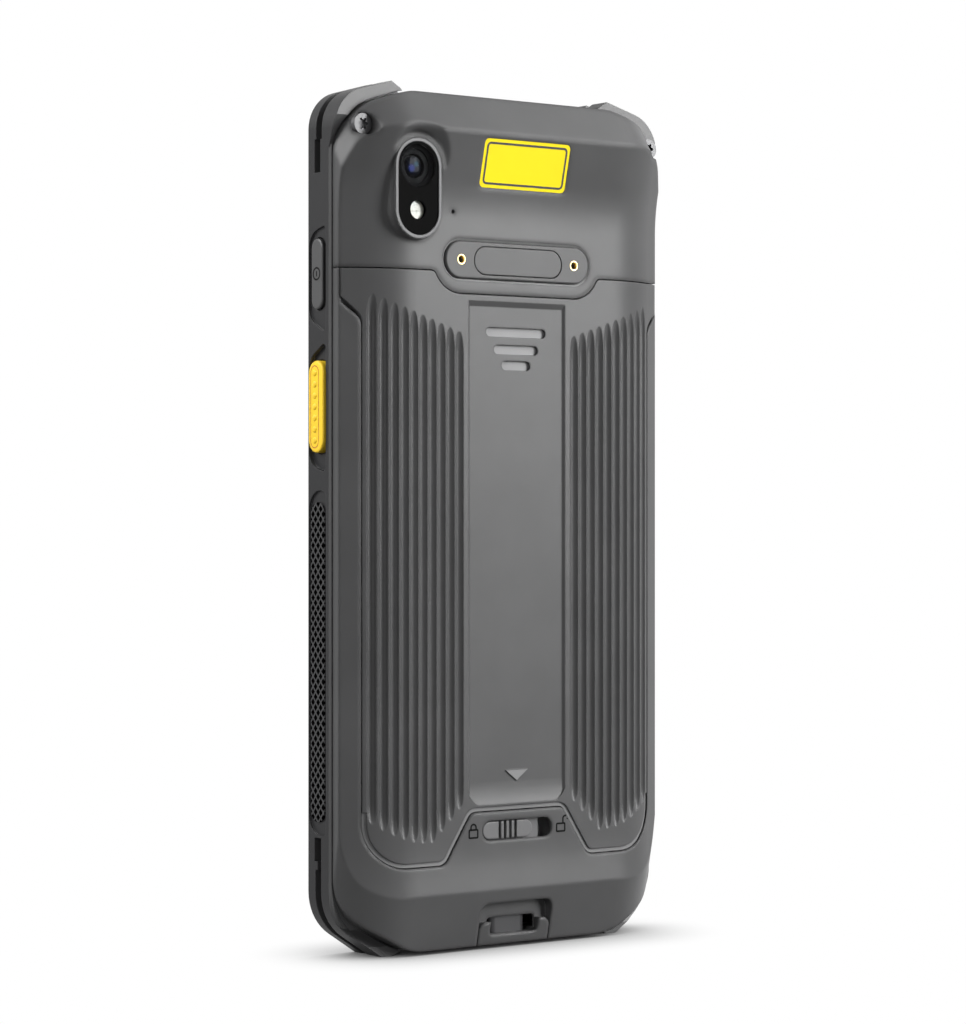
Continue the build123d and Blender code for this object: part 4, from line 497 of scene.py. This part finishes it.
def trigger_detail(side, body):
    """Painted shade of an oval groove, as a dark orange line, and seven small bumps on a scan trigger."""
    low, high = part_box(f"scan_trigger_{'right' if side > 0 else 'left'}")
    face_x = (high.x if side > 0 else low.x) / MM + side * KEY_LIFT
    centre_z = (low.z + high.z) / 2 / MM
    oval = arc((OVAL_Y, centre_z + OVAL_STRAIGHT_HALF), OVAL_R, 0, 180)
    oval += arc((OVAL_Y, centre_z - OVAL_STRAIGHT_HALF), OVAL_R, 180, 360)
    line_beside(f"{body}_oval", face_x, oval, OVAL_WIDTH, TRIGGER_GROOVE_SHADE, body, True)
    for step in range(-3, 4):
        bump(f"{body}_bump_{step + 4}", side, (face_x, OVAL_Y, centre_z + BUMP_PITCH * step), body)


def bump(name, side, place, body, radius=0.62, height=0.18, rings=5, steps=20):
    """Low rounded bump on a side face."""
    verts, faces = [], []
    for ring in range(rings + 1):
        t = math.pi / 2 * ring / rings
        for step in range(steps):
            u = 2 * math.pi * step / steps
            verts.append(
                (
                    (place[0] + side * height * math.sin(t)) * MM,
                    (place[1] + radius * math.cos(t) * math.cos(u)) * MM,
                    (place[2] + radius * math.cos(t) * math.sin(u)) * MM,
                )
            )
    for ring in range(rings):
        for step in range(steps):
            a, b = ring * steps + step, ring * steps + (step + 1) % steps
            faces.append((a, b, b + steps, a + steps))
    mesh_object(name, verts, faces, TRIGGER, body, smooth=True)


POWER_RING_R = 1.1
POWER_RING_WIDTH = 0.32
POWER_BAR_HALF = 0.5
POWER_BAR_WIDTH = 0.3


def power_mark():
    """Ring and bar on the power key."""
    low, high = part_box("power_key")
    face_x = high.x / MM + KEY_LIFT
    centre_z = (low.z + high.z) / 2 / MM
    # the last point stops short of the first, since the line closes itself
    ring = arc((KEY_Y, centre_z), POWER_RING_R, 0, 345, 24)
    line_beside("power_ring", face_x, ring, POWER_RING_WIDTH, KEY_LINE, "power", True)
    bar = [(KEY_Y, centre_z - POWER_BAR_HALF), (KEY_Y, centre_z + POWER_BAR_HALF)]
    line_beside("power_bar", face_x, bar, POWER_BAR_WIDTH, KEY_LINE, "power")


CONTACT_RIM = 0.28
CONTACT_CHAMFER = 0.05
CONTACT_INSIDE_CHAMFER = 0.04
CONTACT_SKIRT = 0.6  # depths below the contacts' top
CONTACT_WELL = 1.5
CONTACT_FLOOR = 0.9


def contacts():
    """The two gold contacts with smooth rings and dark bores."""
    low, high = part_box("accessory_contacts")
    top = high.y / MM
    outer = (high.z - low.z) / 2 / MM
    x = high.x - outer * MM
    z = (low.z + high.z) / 2
    for name, side in (("contact_right", 1), ("contact_left", -1)):
        centre = Vector((side * x, 0, z))
        bore = outer - CONTACT_RIM
        profile = [
            (outer, top - CONTACT_SKIRT),
            (outer, top - CONTACT_CHAMFER),
            (outer - CONTACT_CHAMFER, top),
            (bore + CONTACT_INSIDE_CHAMFER, top),
            (bore, top - CONTACT_CHAMFER),
            (bore, top - CONTACT_WELL),
        ]
        turned(name, profile, centre, GOLD, "terminal")
        floor_profile = [(0.0, top - CONTACT_FLOOR), (bore, top - CONTACT_FLOOR)]
        turned(name + "_bore", floor_profile, centre, HOLE, "terminal")
    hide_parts("accessory_contacts")


DOME_RISE = 0.35
DOME_R = 2.25
DOME_ROWS = 8
DOME_DEPTH = 0.42  # the dome's rim lies this far below the camera module's top


def lens_element():
    """Domed front element of the camera, seen through the window."""
    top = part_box("camera_module")[1].y
    turns = [math.pi / 2 * i / DOME_ROWS for i in range(DOME_ROWS + 1)]
    profile = [(DOME_R * math.sin(t), DOME_RISE * math.cos(t)) for t in turns]
    obj = turned("lens_element", profile, Vector((0, 0, 0)), LENS_GLASS, None)
    obj.location = (LENS.x, top - DOME_DEPTH * MM, LENS.z)
    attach(obj, "terminal")


BACK_FLAT = 5.6  # the back's flat, the rounding of its long sides and the rise of its lower lip
FLAT_HALF = 23.8
SHOULDER_R = 22.5
LIP_Z = 20.5
LIP_R = 60.0


def back_depth(x, z):
    """Depth of the plain back at x and z, in millimetres."""
    lean = math.asin(min(1.0, max(abs(x) - FLAT_HALF, 0) / SHOULDER_R))
    lip = max(LIP_Z - z, 0) ** 2 / (2 * LIP_R)
    return BACK_FLAT - SHOULDER_R * (1 - math.cos(lean)) + lip


FRAME_BACK_FACING = 0.3  # a frame face whose normal points back by more than this gets the painted highlight


def paint_frame_highlight():
    """Painted highlight: a lighter copy of the frame's black where the frame faces the back, for the light
    its rim catches beside the rear shells.
    """
    obj = frame["nodes"]["front_frame"]
    obj.data.materials.append(FRAME_BACK_HIGHLIGHT)
    for face in obj.data.polygons:
        if face.normal.y > FRAME_BACK_FACING:
            face.material_index = 1


STEP_TOP_Z = 27.6
STEP_DEPTHS = (0.25, 0.35)  # below the plain back
STEP_SLACK = (0.06, 0.09)  # how far a step face's normal may lean from the back's, across and along
SLOTS_Z = (108, 119.5)
SLOTS_HALF = 8
SLOT_FLOOR_DEPTH = 0.9
SLOT_END_DEPTH = 0.5
SLOT_END_X = 1  # painted shade: only the ends on this side of the middle are darkened


def paint_cover_light_and_shade():
    """Painted light and shade on the battery cover: a painted highlight on its lower step, a painted
    highlight on the floors of the grip slots, and painted shade on the slot ends on one side.
    """
    obj = frame["nodes"]["battery_cover"]
    for mat in (COVER_STEP_HIGHLIGHT, SLOT_FLOOR_HIGHLIGHT, SLOT_END_SHADE):
        obj.data.materials.append(mat)
    for face in obj.data.polygons:
        x, y, z = (v / MM for v in face.center)
        out = face.normal.y
        depth = back_depth(x, z) - y
        lean = max(abs(x) - FLAT_HALF, 0) / SHOULDER_R
        level = abs(abs(face.normal.x) - lean) < STEP_SLACK[0] and abs(face.normal.z) < STEP_SLACK[1]
        in_slots = SLOTS_Z[0] < z < SLOTS_Z[1] and abs(x) < SLOTS_HALF
        # painted highlight on the lower step's faces
        if z < STEP_TOP_Z and level and STEP_DEPTHS[0] < depth < STEP_DEPTHS[1]:
            face.material_index = 1
        # painted highlight on the slot floors
        elif in_slots and depth > SLOT_FLOOR_DEPTH and out > 0.9:
            face.material_index = 2
        # painted shade on the slot ends
        elif in_slots and depth > SLOT_END_DEPTH and out < 0.5 and x > SLOT_END_X:
            face.material_index = 3


RIM_REACH = 0.5  # the chamfer lies within this distance of the pad
RIM_FACING = (0.6, 0.8)  # how far the chamfer's normals point back


def paint_pocket_rim_highlight():
    """Painted highlight: a lighter grey on the chamfer round the accessory pad's pocket, for the light it
    catches.
    """
    obj = frame["nodes"]["upper_cover"]
    obj.data.materials.append(POCKET_RIM_HIGHLIGHT)
    low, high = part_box("accessory_pad")
    reach = RIM_REACH * MM
    for face in obj.data.polygons:
        x, _, z = face.center
        near = low.x - reach < x < high.x + reach and low.z - reach < z < high.z + reach
        if near and RIM_FACING[0] < face.normal.y < RIM_FACING[1]:
            face.material_index = 1


label_border()
lock_mark("lock_closed", LOCK_X, False)
lock_mark("lock_open", -LOCK_X, True)
cover_mark()
trigger_detail(1, "trigger_right")
trigger_detail(-1, "trigger_left")
power_mark()
contacts()
lens_element()
paint_cover_light_and_shade()
paint_frame_highlight()
paint_pocket_rim_highlight()


# ---- Stage ----
FLOOR_LIT = 0.1  # share of the floor's brightness that the lamps give near the object
FLOOR_GLOW = 0.86  # share that the floor gives by itself
FLOOR_SIZE = 8.0
FLOOR_BOUNCE = 0.08  # grey that the object's own light sees in the floor
FLOOR_FADE = (0.006, 0.026)  # the floor turns plain white between these distances from the feet
FEET_HALF = 0.027  # half the width that the feet span
FEET_Y = -0.003
CONTACT_SHADE = 0.035  # reach of the soft shade round the feet


def background_rays(nodes, links):
    """1 for the rays that see the background itself: the camera's, and those that metal and glass send on."""
    path = nodes.new("ShaderNodeLightPath")
    seen = path.outputs["Is Camera Ray"]
    for kind in ("Is Glossy Ray", "Is Transmission Ray"):
        seen = maths(nodes, links, "MAXIMUM", seen, path.outputs[kind])
    return seen


def floor():
    """Pale floor that keeps the object's shadow and turns plain white farther out."""
    bpy.ops.mesh.primitive_plane_add(size=FLOOR_SIZE, location=(0, 0, 0))
    obj = bpy.context.object
    obj.name = "floor"
    mat, nodes, links, shader = new_material("floor")
    out = [n for n in nodes if n.type == "OUTPUT_MATERIAL"][0]
    noise = nodes.new("ShaderNodeTexNoise")
    noise.inputs["Scale"].default_value = 2.0
    ramp = nodes.new("ShaderNodeValToRGB")
    for element, share in zip(ramp.color_ramp.elements, (FLOOR_LIT, FLOOR_LIT * 1.05)):
        element.color = (share, share, share, 1)
    links.new(noise.outputs["Fac"], ramp.inputs["Fac"])
    links.new(ramp.outputs["Color"], shader.inputs["Base Color"])
    shader.inputs["Roughness"].default_value = 1.0
    shader.inputs["Specular IOR Level"].default_value = 0.0
    shader.inputs["Emission Color"].default_value = (1, 1, 1, 1)
    # painted contact shade: ambient occlusion dims the floor's own glow near the feet
    shade = nodes.new("ShaderNodeAmbientOcclusion")
    shade.samples = 8
    shade.inputs["Distance"].default_value = CONTACT_SHADE
    glow = maths(nodes, links, "MULTIPLY", shade.outputs["AO"], FLOOR_GLOW)
    links.new(glow, shader.inputs["Emission Strength"])
    plain = nodes.new("ShaderNodeEmission")
    plain.inputs["Color"].default_value = (1, 1, 1, 1)
    split = object_place(nodes, links)
    beyond = maths(nodes, links, "SUBTRACT", maths(nodes, links, "ABSOLUTE", split.outputs["X"]), FEET_HALF)
    across = maths(nodes, links, "MAXIMUM", beyond, 0.0)
    deep = maths(nodes, links, "SUBTRACT", split.outputs["Y"], FEET_Y)
    away = distance(nodes, links, across, deep)
    fade = nodes.new("ShaderNodeMapRange")
    fade.interpolation_type = "SMOOTHSTEP"
    fade.inputs["From Min"].default_value = FLOOR_FADE[0]
    fade.inputs["From Max"].default_value = FLOOR_FADE[1]
    links.new(away, fade.inputs["Value"])
    seen = nodes.new("ShaderNodeMixShader")
    links.new(fade.outputs["Result"], seen.inputs["Fac"])
    links.new(shader.outputs["BSDF"], seen.inputs[1])
    links.new(plain.outputs["Emission"], seen.inputs[2])
    dim = nodes.new("ShaderNodeBsdfDiffuse")
    dim.inputs["Color"].default_value = (FLOOR_BOUNCE, FLOOR_BOUNCE, FLOOR_BOUNCE, 1)
    mix = nodes.new("ShaderNodeMixShader")
    links.new(background_rays(nodes, links), mix.inputs["Fac"])
    links.new(dim.outputs["BSDF"], mix.inputs[1])
    links.new(seen.outputs["Shader"], mix.inputs[2])
    links.new(mix.outputs["Shader"], out.inputs["Surface"])
    paint(obj, mat)


ROOM_LOW = (0.46, (0.06, 0.06, 0.06, 1))  # height on the room's sphere, from 0 to 1, and colour
ROOM_HIGH = (0.62, (0.2, 0.2, 0.204, 1))
ROOM_STRENGTH = 0.3


def world():
    """White for the rays that see the background, a dim room with a paler ceiling for the rest."""
    w = bpy.data.worlds.new("studio")
    bpy.context.scene.world = w
    w.use_nodes = True
    nodes, links = w.node_tree.nodes, w.node_tree.links
    nodes.clear()
    out = nodes.new("ShaderNodeOutputWorld")
    white = nodes.new("ShaderNodeBackground")
    white.inputs["Color"].default_value = (1, 1, 1, 1)
    white.inputs["Strength"].default_value = 1.0
    room = nodes.new("ShaderNodeBackground")
    where = nodes.new("ShaderNodeTexCoord")
    split = nodes.new("ShaderNodeSeparateXYZ")
    links.new(where.outputs["Generated"], split.inputs["Vector"])
    ramp = nodes.new("ShaderNodeValToRGB")
    for element, (height, color) in zip(ramp.color_ramp.elements, (ROOM_LOW, ROOM_HIGH)):
        element.position = height
        element.color = color
    to_unit = maths(nodes, links, "ADD", maths(nodes, links, "MULTIPLY", split.outputs["Z"], 0.5), 0.5)
    links.new(to_unit, ramp.inputs["Fac"])
    links.new(ramp.outputs["Color"], room.inputs["Color"])
    room.inputs["Strength"].default_value = ROOM_STRENGTH
    mix = nodes.new("ShaderNodeMixShader")
    links.new(background_rays(nodes, links), mix.inputs["Fac"])
    links.new(room.outputs["Background"], mix.inputs[1])
    links.new(white.outputs["Background"], mix.inputs[2])
    links.new(mix.outputs["Shader"], out.inputs["Surface"])


AIM = Vector((0, 0, 0.08))  # all lamps point at the middle of the object
LAMPS = (  # name, place, size and power in watts
    ("key_box", (-0.86, 0.72, 0.86), (1.0, 0.9), 21.0),
    ("back_box", (-0.75, 1.0, 0.36), (0.45, 0.5), 13.0),
    ("side_box", (0.985, -0.51, 0.85), (0.7, 0.9), 22.0),
    ("edge_box", (1.15, 0.62, 0.2), (0.22, 1.3), 6.0),
)
CAMERA_AT = (0.36182, 0.47704, 0.0844)
CAMERA_LOOKS = Vector((-0.6, -0.8, 0.0))
CAMERA_LENS = 109.27
CAMERA_SHIFT = -0.00586


def area(name, place, size, power):
    """Rectangular soft box that the camera doesn't see."""
    data = bpy.data.lights.new(name, "AREA")
    data.shape = "RECTANGLE"
    data.size, data.size_y = size
    data.energy = power
    obj = bpy.data.objects.new(name, data)
    bpy.context.scene.collection.objects.link(obj)
    obj.location = place
    obj.rotation_euler = (AIM - Vector(place)).to_track_quat("-Z", "Y").to_euler()
    obj.visible_camera = False


def camera():
    data = bpy.data.cameras.new("camera")
    data.lens = CAMERA_LENS
    data.sensor_width = 36.0
    data.shift_y = CAMERA_SHIFT
    data.clip_start = 0.01
    data.dof.use_dof = False
    obj = bpy.data.objects.new("camera", data)
    bpy.context.scene.collection.objects.link(obj)
    obj.location = CAMERA_AT
    obj.rotation_euler = CAMERA_LOOKS.to_track_quat("-Z", "Y").to_euler()
    bpy.context.scene.camera = obj


floor()
world()
for lamp in LAMPS:
    area(*lamp)
camera()
bpy.context.scene.view_settings.view_transform = "Standard"
